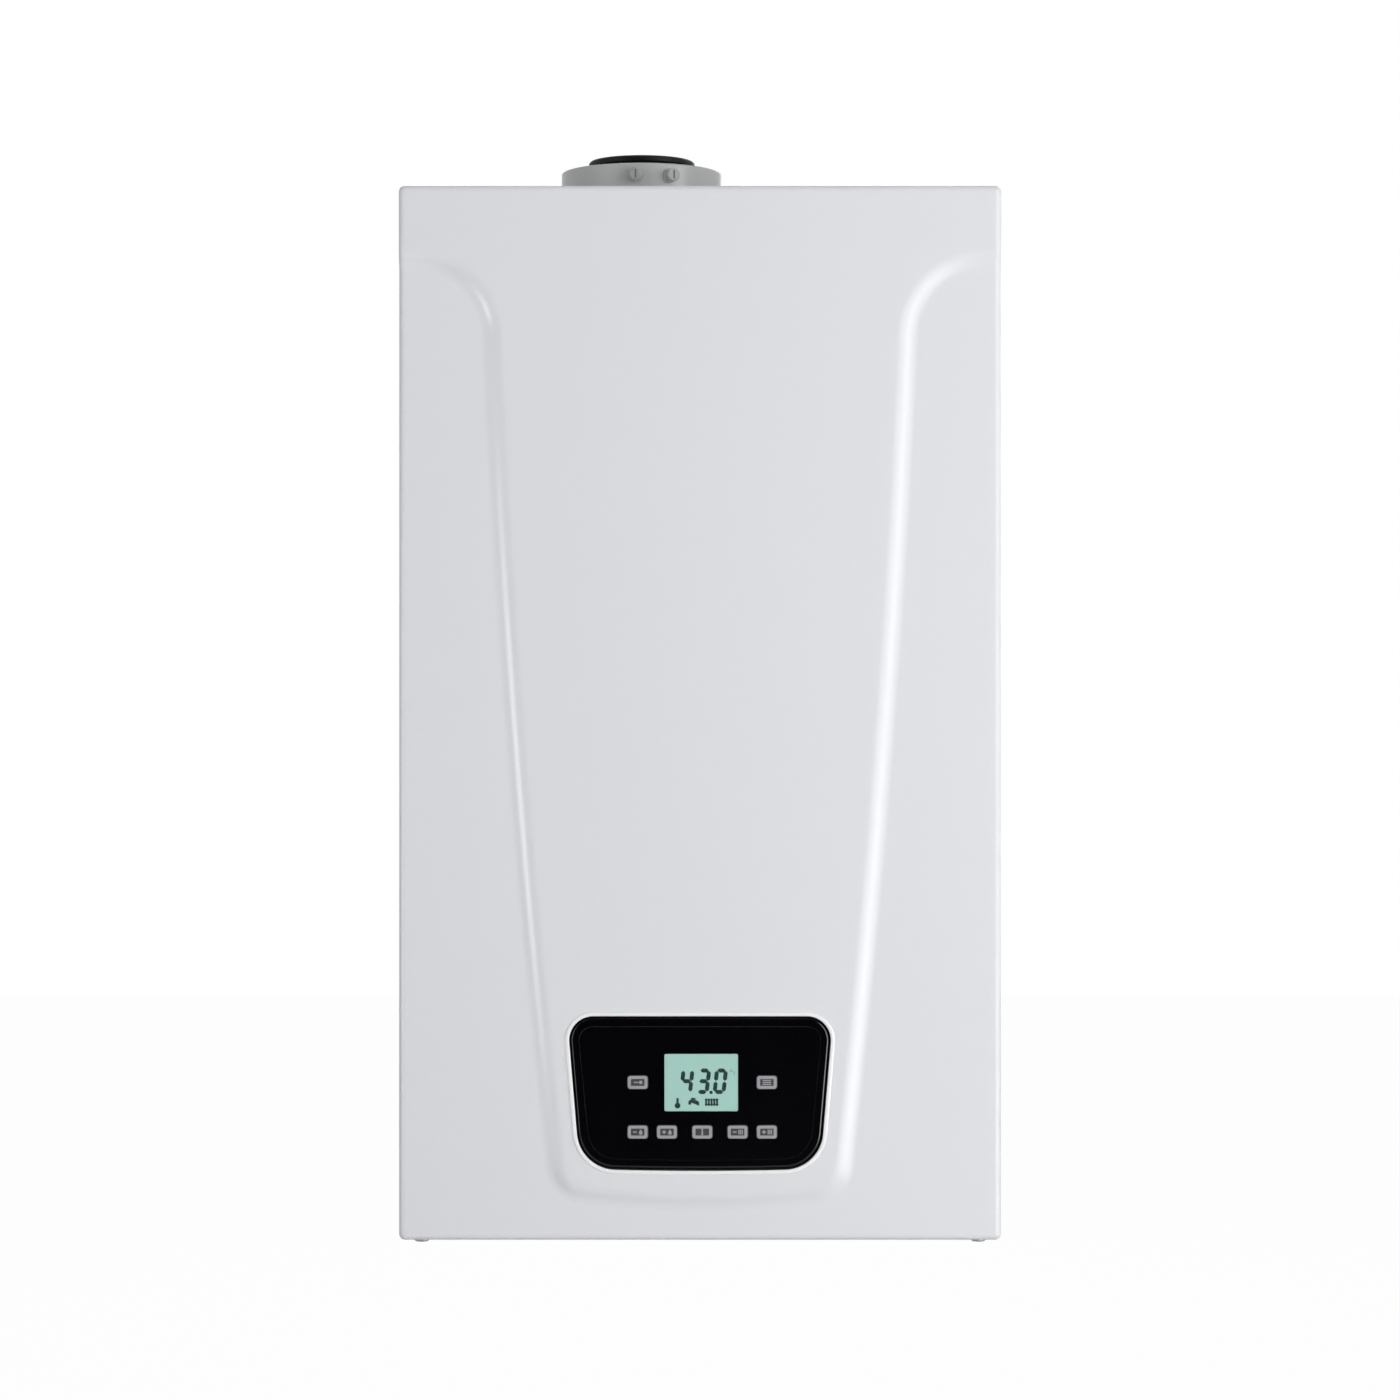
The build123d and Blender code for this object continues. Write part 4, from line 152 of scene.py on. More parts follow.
def shield_loop():
    """The shield's outline, anticlockwise as seen from the room.

    From the middle of the foot: a sole on the parabola z = foot - drop (1 - (x / half)^2), a corner arc,
    a side that bulges out, a quarter circle out to the shoulder, and a straight way past the case's edge
    and up beyond its top. The other half is its mirror image.
    """
    sole = run((0, FOOT_Z - SOLE_DROP), (FOOT_HALF, FOOT_Z), 0.0, 600)
    sole[:, 1] = FOOT_Z - SOLE_DROP * (1.0 - (sole[:, 0] / FOOT_HALF) ** 2)
    side = run((FOOT_HALF, FOOT_Z), (WAIST_HALF, SHOULDER_START), SIDE_BULGE, 1600)
    bend = 28
    head, tail = rounded(sole, side, FOOT_RADIUS, bend)
    # the long stretches keep only some of their points, the corner all of its own
    head = np.concatenate([head[:-bend:30], head[-bend:]])
    tail = np.concatenate([tail[:-1:14], tail[-1:]])
    shoulder = arc((WAIST_HALF + SHOULDER_RADIUS, SHOULDER_START), SHOULDER_RADIUS, 180, 90, 60)
    beyond = np.array([(FAR_X, SHOULDER_Z), (FAR_X, FAR_Z)])
    half = np.concatenate([head, tail, shoulder[1:], beyond])
    other = half[::-1] * np.array([-1.0, 1.0])
    return np.concatenate([half, other[:-1]])


def window_loop(grow):
    """The window's outline grown outwards by this much, anticlockwise, as points about 1 mm apart.

    Two slanted sides, a straight head and a bowed sole, with an arc in each corner.
    """
    top = (WINDOW_TOP[0] + grow, WINDOW_TOP[1] + grow)
    foot = (WINDOW_FOOT[0] + grow, WINDOW_FOOT[1] - grow)
    sole = run((-foot[0], foot[1]), foot, WINDOW_SOLE_DROP, 1600)
    right = run(foot, top, 0.0, 1000)
    head = run(top, (-top[0], top[1]), 0.0, 1700)
    left = run((-top[0], top[1]), (-foot[0], foot[1]), 0.0, 1000)
    sole, right = rounded(sole, right, WINDOW_FOOT_RADIUS + grow, 60)
    right, head = rounded(right, head, WINDOW_TOP_RADIUS + grow, 44)
    head, left = rounded(head, left, WINDOW_TOP_RADIUS + grow, 44)
    left, sole = rounded(left, sole, WINDOW_FOOT_RADIUS + grow, 60)
    loop = np.concatenate([sole, right, head, left])
    # even spacing along the whole outline
    step = np.linalg.norm(np.roll(loop, -1, axis=0) - loop, axis=1)
    at = np.concatenate([[0.0], np.cumsum(step)])
    closed = np.concatenate([loop, loop[:1]])
    even = np.linspace(0.0, at[-1], WINDOW_POINTS, endpoint=False)
    return np.stack([np.interp(even, at, closed[:, 0]), np.interp(even, at, closed[:, 1])], axis=1)


def signed_distance(points, loop):
    """How far each point lies inside a closed loop, negative outside.

    The distance is the least one to any of the loop's straight steps. A point is inside where a ray
    towards +x crosses the loop an odd number of times. The points are taken in blocks, to save memory.
    """
    block = 6000
    a, b = loop, np.roll(loop, -1, axis=0)
    along = b - a
    length2 = np.maximum((along**2).sum(axis=1), 1e-12)
    out = np.empty(len(points))
    for low in range(0, len(points), block):
        p = points[low : low + block, None, :]
        t = np.clip(((p - a) * along).sum(axis=2) / length2, 0.0, 1.0)
        near = np.linalg.norm(p - (a + t[..., None] * along), axis=2).min(axis=1)
        span = (a[:, 1] > p[..., 1]) != (b[:, 1] > p[..., 1])
        rise = np.where(np.abs(along[:, 1]) < 1e-12, 1e-12, along[:, 1])
        cross = a[:, 0] + (p[..., 1] - a[:, 1]) / rise * along[:, 0]
        inside = ((span & (p[..., 0] < cross)).sum(axis=1) % 2) == 1
        out[low : low + block] = np.where(inside, near, -near)
    return out


def smooth(value):
    """0 below 0, 1 above 1 and 3v^2 - 2v^3 between."""
    v = np.clip(value, 0.0, 1.0)
    return v * v * (3.0 - 2.0 * v)


def grid_faces(rows, columns, wrap_rows=False, wrap_columns=False):
    """Corner numbers of the quads of a rows x columns grid, closed in either direction if asked."""
    number = np.arange(rows * columns).reshape(rows, columns)
    if wrap_rows:
        number = np.concatenate([number, number[:1]], axis=0)
    if wrap_columns:
        number = np.concatenate([number, number[:, :1]], axis=1)
    quads = [number[:-1, :-1], number[:-1, 1:], number[1:, 1:], number[1:, :-1]]
    return np.stack([q.ravel() for q in quads], axis=1)


def make_piece(name, points, faces, body, material, slot, smooth_shading=True):
    """A mesh object at the origin from points in mm and a list or array of faces, riding on a body."""
    mesh = bpy.data.meshes.new(name)
    corners = faces.tolist() if isinstance(faces, np.ndarray) else faces
    mesh.from_pydata((np.asarray(points) * MM).tolist(), [], corners)
    mesh.polygons.foreach_set("use_smooth", [smooth_shading] * len(mesh.polygons))
    mesh.materials.append(material)
    mesh.update()
    piece = bpy.data.objects.new(name, mesh)
    bpy.context.scene.collection.objects.link(piece)
    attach(piece, body)
    return piece


def shifted_faces(faces, count):
    """Faces as lists, with count added to their corner numbers; an array of quads goes in one step."""
    if isinstance(faces, np.ndarray):
        return (faces + count).tolist()
    return [(np.array(face) + count).tolist() for face in faces]


def join_parts(parts):
    """Several (points, faces) pairs as one pair, with the corner numbers carried on."""
    points, faces, count = [], [], 0
    for p, f in parts:
        points.append(np.asarray(p, float))
        faces += shifted_faces(f, count)
        count += len(p)
    return np.concatenate(points), faces


# ------------------------------------------------------------------ shader groups
def new_group(name, inputs, outputs):
    """An empty shader node group with named sockets, and its input and output nodes."""
    group = bpy.data.node_groups.new(name, "ShaderNodeTree")
    for label, kind, default in inputs:
        socket = group.interface.new_socket(name=label, in_out="INPUT", socket_type=kind)
        if default is not None:
            socket.default_value = default
    for label, kind in outputs:
        group.interface.new_socket(name=label, in_out="OUTPUT", socket_type=kind)
    return group, group.nodes.new("NodeGroupInput"), group.nodes.new("NodeGroupOutput")


def math_node(tree, operation, first, second, clamp=False):
    """A Math node; each operand is a socket or a number."""
    node = tree.nodes.new("ShaderNodeMath")
    node.operation = operation
    node.use_clamp = clamp
    for place, value in enumerate((first, second)):
        if isinstance(value, (int, float)):
            node.inputs[place].default_value = value
        else:
            tree.links.new(value, node.inputs[place])
    return node.outputs[0]


def mix_colour(tree, factor, first, second, blend="MIX"):
    """A colour Mix node; factor and colours are sockets or plain values."""
    node = tree.nodes.new("ShaderNodeMix")
    node.data_type = "RGBA"
    node.blend_type = blend
    for place, value in ((0, factor), (6, first), (7, second)):
        if isinstance(value, (int, float)):
            node.inputs[place].default_value = value
        elif isinstance(value, tuple):
            node.inputs[place].default_value = (*value, 1.0)
        else:
            tree.links.new(value, node.inputs[place])
    return node.outputs[2]


def map_range(tree, value, low, high, to_low, to_high):
    """A Map Range node, clamped."""
    node = tree.nodes.new("ShaderNodeMapRange")
    tree.links.new(value, node.inputs[0])
    for place, number in enumerate((low, high, to_low, to_high)):
        node.inputs[place + 1].default_value = number
    return node.outputs[0]


def noise(tree, vector, scale, detail, roughness):
    """A Noise texture's value."""
    node = tree.nodes.new("ShaderNodeTexNoise")
    node.inputs["Scale"].default_value = scale
    node.inputs["Detail"].default_value = detail
    node.inputs["Roughness"].default_value = roughness
    tree.links.new(vector, node.inputs["Vector"])
    return node.outputs["Fac"]


def build_grain():
    """Uneven tone and fine pitting of a painted, cast or moulded surface."""
    group, given, result = new_group(
        "surface_grain",
        [
            ("Vector", "NodeSocketVector", None),
            ("Fine", "NodeSocketFloat", 900.0),
            ("Broad", "NodeSocketFloat", 14.0),
        ],
        [("Tone", "NodeSocketFloat"), ("Height", "NodeSocketFloat")],
    )
    fine = group.nodes.new("ShaderNodeTexNoise")
    fine.inputs["Detail"].default_value = 2.0
    broad = group.nodes.new("ShaderNodeTexNoise")
    broad.inputs["Detail"].default_value = 4.0
    for node, label in ((fine, "Fine"), (broad, "Broad")):
        group.links.new(given.outputs["Vector"], node.inputs["Vector"])
        group.links.new(given.outputs[label], node.inputs["Scale"])
    group.links.new(broad.outputs["Fac"], result.inputs["Tone"])
    group.links.new(fine.outputs["Fac"], result.inputs["Height"])
    return group


def build_dust():
    """A thin pale film where the surface looks up, broken by noise."""
    group, given, result = new_group(
        "settled_dust",
        [
            ("Vector", "NodeSocketVector", None),
            ("Normal", "NodeSocketVector", None),
            ("Color", "NodeSocketColor", (0.5, 0.5, 0.5, 1.0)),
            ("Roughness", "NodeSocketFloat", 0.5),
            ("Amount", "NodeSocketFloat", 0.3),
        ],
        [("Color", "NodeSocketColor"), ("Roughness", "NodeSocketFloat")],
    )
    split = group.nodes.new("ShaderNodeSeparateXYZ")
    group.links.new(given.outputs["Normal"], split.inputs[0])
    upward = map_range(group, split.outputs["Z"], 0.55, 1.0, 0.0, 1.0)
    patchy = map_range(group, noise(group, given.outputs["Vector"], 60.0, 5.0, 0.6), 0.35, 0.7, 0.25, 1.0)
    mask = math_node(group, "MULTIPLY", upward, patchy)
    mask = math_node(group, "MULTIPLY", mask, given.outputs["Amount"], clamp=True)
    filmed = mix_colour(group, mask, given.outputs["Color"], (0.42, 0.40, 0.37))
    group.links.new(filmed, result.inputs["Color"])
    rough = math_node(group, "MULTIPLY_ADD", mask, 0.4)
    group.links.new(given.outputs["Roughness"], rough.node.inputs[2])
    group.links.new(rough, result.inputs["Roughness"])
    return group


def build_wear():
    """A mask that is 1 on rubbed edges: where a rounded-off normal leaves the true one."""
    group, given, result = new_group(
        "worn_edge",
        [
            ("Vector", "NodeSocketVector", None),
            ("Radius", "NodeSocketFloat", 0.0006),
            ("Amount", "NodeSocketFloat", 0.5),
        ],
        [("Mask", "NodeSocketFloat")],
    )
    bevel = group.nodes.new("ShaderNodeBevel")
    bevel.samples = 3
    group.links.new(given.outputs["Radius"], bevel.inputs["Radius"])
    geometry = group.nodes.new("ShaderNodeNewGeometry")
    dot = group.nodes.new("ShaderNodeVectorMath")
    dot.operation = "DOT_PRODUCT"
    group.links.new(bevel.outputs[0], dot.inputs[0])
    group.links.new(geometry.outputs["Normal"], dot.inputs[1])
    edge = map_range(group, dot.outputs["Value"], 0.97, 0.8, 0.0, 1.0)
    broken = map_range(group, noise(group, given.outputs["Vector"], 220.0, 4.0, 0.7), 0.4, 0.62, 0.0, 1.0)
    mask = math_node(group, "MULTIPLY", edge, broken)
    mask = math_node(group, "MULTIPLY", mask, given.outputs["Amount"], clamp=True)
    group.links.new(mask, result.inputs["Mask"])
    return group


GRAIN = build_grain()
DUST = build_dust()
WEAR = build_wear()


def place_group(tree, group, links, **values):
    """A group node with its sockets linked or set by name."""
    node = tree.nodes.new("ShaderNodeGroup")
    node.node_tree = group
    for label, socket in links.items():
        tree.links.new(socket, node.inputs[label])
    for label, value in values.items():
        node.inputs[label].default_value = value
    return node


# ------------------------------------------------------------------ finishes
def finish_material(
    name,
    colour,
    second,
    metallic=0.0,
    roughness=0.45,
    rough_spread=0.08,
    fine=900.0,
    broad=14.0,
    bump=0.00002,
    coat=0.0,
    specular=0.5,
    dust=0.2,
    wear=0.0,
    wear_colour=(0.7, 0.7, 0.7),
    stretch=(1.0, 1.0, 1.0),
):
    """A material with uneven tone, fine relief, dust on its upward faces and worn edges.

    Broad noise mixes the two colours and moves the roughness by its spread; fine noise lifts the surface
    by up to bump metres. Both noise scales are per metre.
    """
    material = bpy.data.materials.new(name)
    material.use_nodes = True
    tree = material.node_tree
    shader = tree.nodes["Principled BSDF"]
    shader.inputs["Metallic"].default_value = metallic
    shader.inputs["Specular IOR Level"].default_value = specular
    if coat:
        shader.inputs["Coat Weight"].default_value = coat
        shader.inputs["Coat Roughness"].default_value = 0.12
    where = tree.nodes.new("ShaderNodeTexCoord")
    mapping = tree.nodes.new("ShaderNodeMapping")
    mapping.inputs["Scale"].default_value = stretch
    tree.links.new(where.outputs["Object"], mapping.inputs["Vector"])
    grain = place_group(tree, GRAIN, {"Vector": mapping.outputs["Vector"]}, Fine=fine, Broad=broad)
    tone = map_range(tree, grain.outputs["Tone"], 0.3, 0.7, 0.0, 1.0)
    base = mix_colour(tree, tone, colour, second)
    if wear:
        worn = place_group(tree, WEAR, {"Vector": where.outputs["Object"]}, Amount=wear)
        base = mix_colour(tree, worn.outputs["Mask"], base, wear_colour)
    smoothest, roughest = roughness - rough_spread, roughness + rough_spread
    rough = map_range(tree, grain.outputs["Tone"], 0.25, 0.75, smoothest, roughest)
    below = {
        "Vector": where.outputs["Object"],
        "Normal": where.outputs["Normal"],
        "Color": base,
        "Roughness": rough,
    }
    film = place_group(tree, DUST, below, Amount=dust)
    tree.links.new(film.outputs["Color"], shader.inputs["Base Color"])
    tree.links.new(film.outputs["Roughness"], shader.inputs["Roughness"])
    relief = tree.nodes.new("ShaderNodeBump")
    relief.inputs["Distance"].default_value = bump
    relief.inputs["Strength"].default_value = 0.6
    tree.links.new(grain.outputs["Height"], relief.inputs["Height"])
    tree.links.new(relief.outputs["Normal"], shader.inputs["Normal"])
    return material


FINISHES = {
    "case_paint": finish_material(
        "white_powder_coat", (0.785, 0.795, 0.815), (0.783, 0.793, 0.812), roughness=0.27,
        rough_spread=0.004, fine=1400, broad=5, bump=0.000004, specular=0.32, dust=0.0,
    ),
    "frame_zinc": finish_material(
        "galvanised_sheet", (0.56, 0.58, 0.60), (0.40, 0.42, 0.44), metallic=0.9, roughness=0.42,
        rough_spread=0.12, fine=500, broad=90, bump=0.00001, dust=0.35,
    ),
    "collar_grey": finish_material(
        "grey_moulding", (0.525, 0.535, 0.53), (0.50, 0.51, 0.505), roughness=0.34, rough_spread=0.05,
        fine=1500, broad=30, bump=0.000006, dust=0.15, wear=0.25, wear_colour=(0.42, 0.43, 0.42),
    ),
    "seal_rubber": finish_material(
        "black_rubber", (0.005, 0.005, 0.006), (0.008, 0.008, 0.009), roughness=0.55, fine=1800,
        bump=0.00001, specular=0.25, dust=0.02,
    ),
    "plug_black": finish_material(
        "grey_plug", (0.44, 0.45, 0.445), (0.41, 0.42, 0.415), roughness=0.4, fine=1500, bump=0.00001,
        dust=0.2,
    ),
    "stainless": finish_material(
        "stainless_steel", (0.62, 0.61, 0.59), (0.50, 0.49, 0.47), metallic=1.0, roughness=0.26,
        rough_spread=0.08, fine=700, broad=40, bump=0.000006, dust=0.15, stretch=(1.0, 1.0, 12.0),
    ),
    "cast_aluminium": finish_material(
        "cast_aluminium", (0.56, 0.56, 0.57), (0.44, 0.44, 0.45), metallic=0.9, roughness=0.48,
        rough_spread=0.1, fine=420, broad=60, bump=0.00008, dust=0.3, wear=0.6,
        wear_colour=(0.8, 0.8, 0.8),
    ),
    "vessel_red": finish_material(
        "red_lacquer", (0.42, 0.025, 0.02), (0.34, 0.02, 0.017), roughness=0.32, rough_spread=0.06,
        fine=900, broad=10, bump=0.00001, coat=0.3, dust=0.3,
    ),
    "fastener_zinc": finish_material(
        "zinc_fastener", (0.66, 0.66, 0.62), (0.55, 0.54, 0.46), metallic=1.0, roughness=0.34, fine=800,
        broad=200, bump=0.00001, dust=0.15,
    ),
    "ceramic_white": finish_material(
        "white_ceramic", (0.78, 0.76, 0.72), (0.68, 0.66, 0.61), roughness=0.3, fine=1200, broad=120,
        dust=0.1,
    ),
    "duct_black": finish_material(
        "black_plastic", (0.022, 0.022, 0.024), (0.03, 0.03, 0.032), roughness=0.46, fine=1300,
        broad=25, bump=0.00003, dust=0.3, wear=0.3, wear_colour=(0.08, 0.08, 0.08),
    ),
    "motor_black": finish_material(
        "motor_shell", (0.028, 0.029, 0.032), (0.045, 0.046, 0.05), roughness=0.42, fine=1000, broad=40,
        bump=0.00003, dust=0.3, wear=0.4, wear_colour=(0.12, 0.12, 0.12),
    ),
    "copper": finish_material(
        "copper_tube", (0.80, 0.40, 0.24), (0.55, 0.25, 0.15), metallic=1.0, roughness=0.27,
        rough_spread=0.12, fine=600, broad=45, bump=0.00001, dust=0.15,
    ),
    "brass": finish_material(
        "cast_brass", (0.72, 0.52, 0.26), (0.55, 0.38, 0.17), metallic=1.0, roughness=0.36,
        rough_spread=0.12, fine=500, broad=60, bump=0.00004, dust=0.25, wear=0.6,
        wear_colour=(0.9, 0.72, 0.42),
    ),
    "cast_iron": finish_material(
        "painted_iron", (0.05, 0.055, 0.06), (0.08, 0.085, 0.09), roughness=0.5, fine=380, broad=50,
        bump=0.0001, dust=0.35, wear=0.5, wear_colour=(0.3, 0.3, 0.31),
    ),
    "valve_grey": finish_material(
        "valve_body", (0.42, 0.43, 0.44), (0.33, 0.34, 0.35), metallic=0.6, roughness=0.46, fine=450,
        broad=45, bump=0.00006, dust=0.3, wear=0.5, wear_colour=(0.66, 0.67, 0.68),
    ),
    "knob_blue": finish_material(
        "blue_knob", (0.02, 0.10, 0.42), (0.015, 0.08, 0.34), roughness=0.35, fine=1400, broad=40,
        dust=0.2,
    ),
    "knob_red": finish_material(
        "red_knob", (0.5, 0.02, 0.015), (0.42, 0.016, 0.012), roughness=0.35, fine=1400, broad=40,
        dust=0.2,
    ),
    "trap_white": finish_material(
        "white_moulding", (0.66, 0.66, 0.63), (0.58, 0.57, 0.52), roughness=0.42, fine=1200, broad=18,
        dust=0.25,
    ),
    "hose_grey": finish_material(
        "grey_hose", (0.20, 0.20, 0.205), (0.16, 0.16, 0.165), roughness=0.5, fine=900, broad=30,
        dust=0.25,
    ),
    "box_grey": finish_material(
        "grey_box", (0.11, 0.115, 0.12), (0.09, 0.095, 0.10), roughness=0.5, fine=1300, broad=20,
        bump=0.00003, dust=0.3, wear=0.25, wear_colour=(0.24, 0.24, 0.24),
    ),
    "fascia_black": finish_material(
        "gloss_black", (0.0012, 0.0010, 0.0018), (0.0018, 0.0016, 0.0026), roughness=0.09,
        rough_spread=0.02, fine=1200, broad=10, bump=0.000001, coat=0.5, specular=0.45, dust=0.02,
    ),
    "display": finish_material(
        "display_film", (0.42, 0.68, 0.60), (0.405, 0.665, 0.585), roughness=0.22, rough_spread=0.03,
        fine=2200, broad=40, bump=0.000001, specular=0.3, dust=0.0,
    ),
    "key_grey": finish_material(
        "key_cap", (0.006, 0.006, 0.008), (0.009, 0.009, 0.011), roughness=0.38, fine=2000, broad=60,
        bump=0.00001, dust=0.03,
    ),
    "mat_rubber": finish_material(
        "grey_rubber", (0.18, 0.18, 0.19), (0.15, 0.15, 0.16), roughness=0.6, fine=1200, broad=40,
        dust=0.2,
    ),
    "board_green": finish_material(
        "circuit_board", (0.02, 0.16, 0.06), (0.015, 0.11, 0.045), roughness=0.38, fine=700, broad=160,
        bump=0.00003, dust=0.2,
    ),
    "needle_red": finish_material(
        "needle_red", (0.55, 0.03, 0.02), (0.46, 0.025, 0.016), roughness=0.4, fine=1400, broad=60,
        dust=0.1,
    ),
}
# the case's white paint, made brighter for the window's rim: a painted highlight along the rounded lip
RIM_WHITE_PAINTED_HIGHLIGHT = finish_material(
    "window_rim_white_painted_highlight", (0.93, 0.935, 0.945), (0.925, 0.93, 0.94), roughness=0.25, rough_spread=0.004,
    fine=1400, broad=5, bump=0.000002, dust=0.0,
)
PRINT_GREY = finish_material(
    "printed_grey", (0.36, 0.36, 0.385), (0.33, 0.33, 0.35), roughness=0.5, fine=2600, broad=300,
    bump=0.000002, dust=0.0,
)
PRINT_DARK = finish_material(
    "printed_dark", (0.035, 0.035, 0.04), (0.045, 0.045, 0.05), roughness=0.5, fine=2600, broad=300,
    bump=0.000002, dust=0.0,
)
LCD_DARK = finish_material(
    "display_segment", (0.020, 0.050, 0.046), (0.026, 0.060, 0.054), roughness=0.3, fine=2600,
    broad=200, bump=0.000001, specular=0.3, dust=0.0,
)
LCD_FAINT = finish_material(
    "display_faint", (0.20, 0.36, 0.31), (0.22, 0.38, 0.33), roughness=0.3, fine=2600, broad=200,
    bump=0.000001, specular=0.3, dust=0.0,
)

for node in nodes.values():
    slot_name = node.data.materials[0].name.split(".")[0]
    node.data.materials[0] = FINISHES[slot_name]


# ------------------------------------------------------------------ front cover
def edge_lines():
    """Stations across half the face, from its middle to its border.

    They stand about 2.7 mm apart at the middle, 0.5 mm along the shield's edge and 1 mm beside that.
    """
    near, far = WAIST_HALF - EDGE_BAND, WAIST_HALF + EDGE_BAND
    middle = np.linspace(0.0, near - EDGE_BAND, 47)[:-1]
    before = np.arange(near - EDGE_BAND, near, 1.0)
    edge = np.arange(near, far, 0.5)
    beyond = np.arange(far, BORDER + 0.01, 1.0)
    return np.concatenate([middle, before, edge, beyond])


def height_lines():
    """Stations up the face: FINE_STEP apart at the shield's foot and shoulders, wider elsewhere."""
    return np.concatenate(
        [
            np.linspace(EDGE_RADIUS, FOOT_BAND[0], 7)[:-1],
            np.arange(*FOOT_BAND, FINE_STEP),
            np.linspace(FOOT_BAND[1], SHOULDER_BAND[0], 100)[:-1],
            np.arange(*SHOULDER_BAND, FINE_STEP),
            np.linspace(SHOULDER_BAND[1], CASE_HEIGHT - EDGE_RADIUS, 13),
        ]
    )


def face_stations(coarse):
    """Stations across half the face and up it; a coarse set keeps every other one and the last."""
    across, up = edge_lines(), height_lines()
    if coarse:
        across = np.concatenate([across[::2][:-1], across[-1:]])
        up = np.concatenate([up[::2][:-1], up[-1:]])
    return across, up


def side_half(height):
    """Half the shield's width at a height, on the side's parabola, and constant below and above it."""
    t = np.clip((height - FOOT_Z) / (SHOULDER_START - FOOT_Z), 0.0, 1.0)
    return FOOT_HALF + t * (WAIST_HALF - FOOT_HALF) + 4.0 * SIDE_BULGE * t * (1.0 - t)


def pressed(distance, inset):
    """The press's height over the wings, at a distance inside the shield's edge.

    A straight slope rises by the shield's height over the bevel's width. At each end a bend touches it and
    the flat beside it. At a way w from where a bend of radius r leaves its flat, it stands off that flat
    by r - sqrt(r^2 - w^2).
    """
    slope = math.atan2(SHIELD_HEIGHT, BEVEL_WIDTH)
    foot, top = WING_BEND + inset, SHIELD_BEND - inset
    foot_start = -BEVEL_WIDTH / 2 - foot * math.tan(slope / 2)
    top_end = BEVEL_WIDTH / 2 + top * math.tan(slope / 2)
    foot_way = np.clip(distance - foot_start, 0.0, foot * math.sin(slope))
    top_way = np.clip(top_end - distance, 0.0, top * math.sin(slope))
    on_foot = foot - np.sqrt(foot**2 - foot_way**2)
    on_top = SHIELD_HEIGHT - top + np.sqrt(top**2 - top_way**2)
    straight = SHIELD_HEIGHT * (distance / BEVEL_WIDTH + 0.5)
    height = np.where(distance > top_end - top * math.sin(slope), on_top, straight)
    return np.where(distance < foot_start + foot * math.sin(slope), on_foot, height)


def over_border(out_u, out_v, radius):
    """How far stations past the face's border lie outwards, up or down, and back from it.

    The larger of the two overshoots, m, is a way round a quarter circle of the radius, by the angle
    m / radius, and then straight back. In a corner the ratio of the overshoots turns the way out from one
    side to the other.
    """
    turn = 0.5 * math.pi * radius
    way = np.maximum(out_u, out_v)
    safe = np.where(way > 0, way, 1.0)
    lean = np.where(
        out_u >= out_v, 0.25 * math.pi * out_v / safe, 0.5 * math.pi - 0.25 * math.pi * out_u / safe
    )
    angle = np.minimum(way, turn) / radius
    reach = radius * np.sin(angle)
    back = radius * (1.0 - np.cos(angle)) + np.maximum(way - turn, 0.0)
    return reach * np.cos(lean), reach * np.sin(lean), back


def open_window(points, faces, front):
    """The skin with the window cut out of its front.

    Quads on the front whose middle lies in the opening go, and the free corners of their neighbours move
    to the nearest points of its outline.
    """
    opening = window_loop(RIM_WIDTH / 2)
    on_front = points[:, 1] < -front + 0.02
    middle = points[faces].mean(axis=1)
    gone = (signed_distance(middle[:, [0, 2]], opening) > 0) & on_front[faces].all(axis=1)
    kept = faces[~gone]
    live = np.unique(kept)
    free = np.intersect1d(np.unique(faces[gone]), live)
    gap = np.linalg.norm(points[free][:, None, [0, 2]] - opening[None], axis=2)
    points[np.ix_(free, [0, 2])] = opening[gap.argmin(axis=1)]
    renumber = np.full(len(points), -1)
    renumber[live] = np.arange(len(live))
    return points[live], renumber[kept]


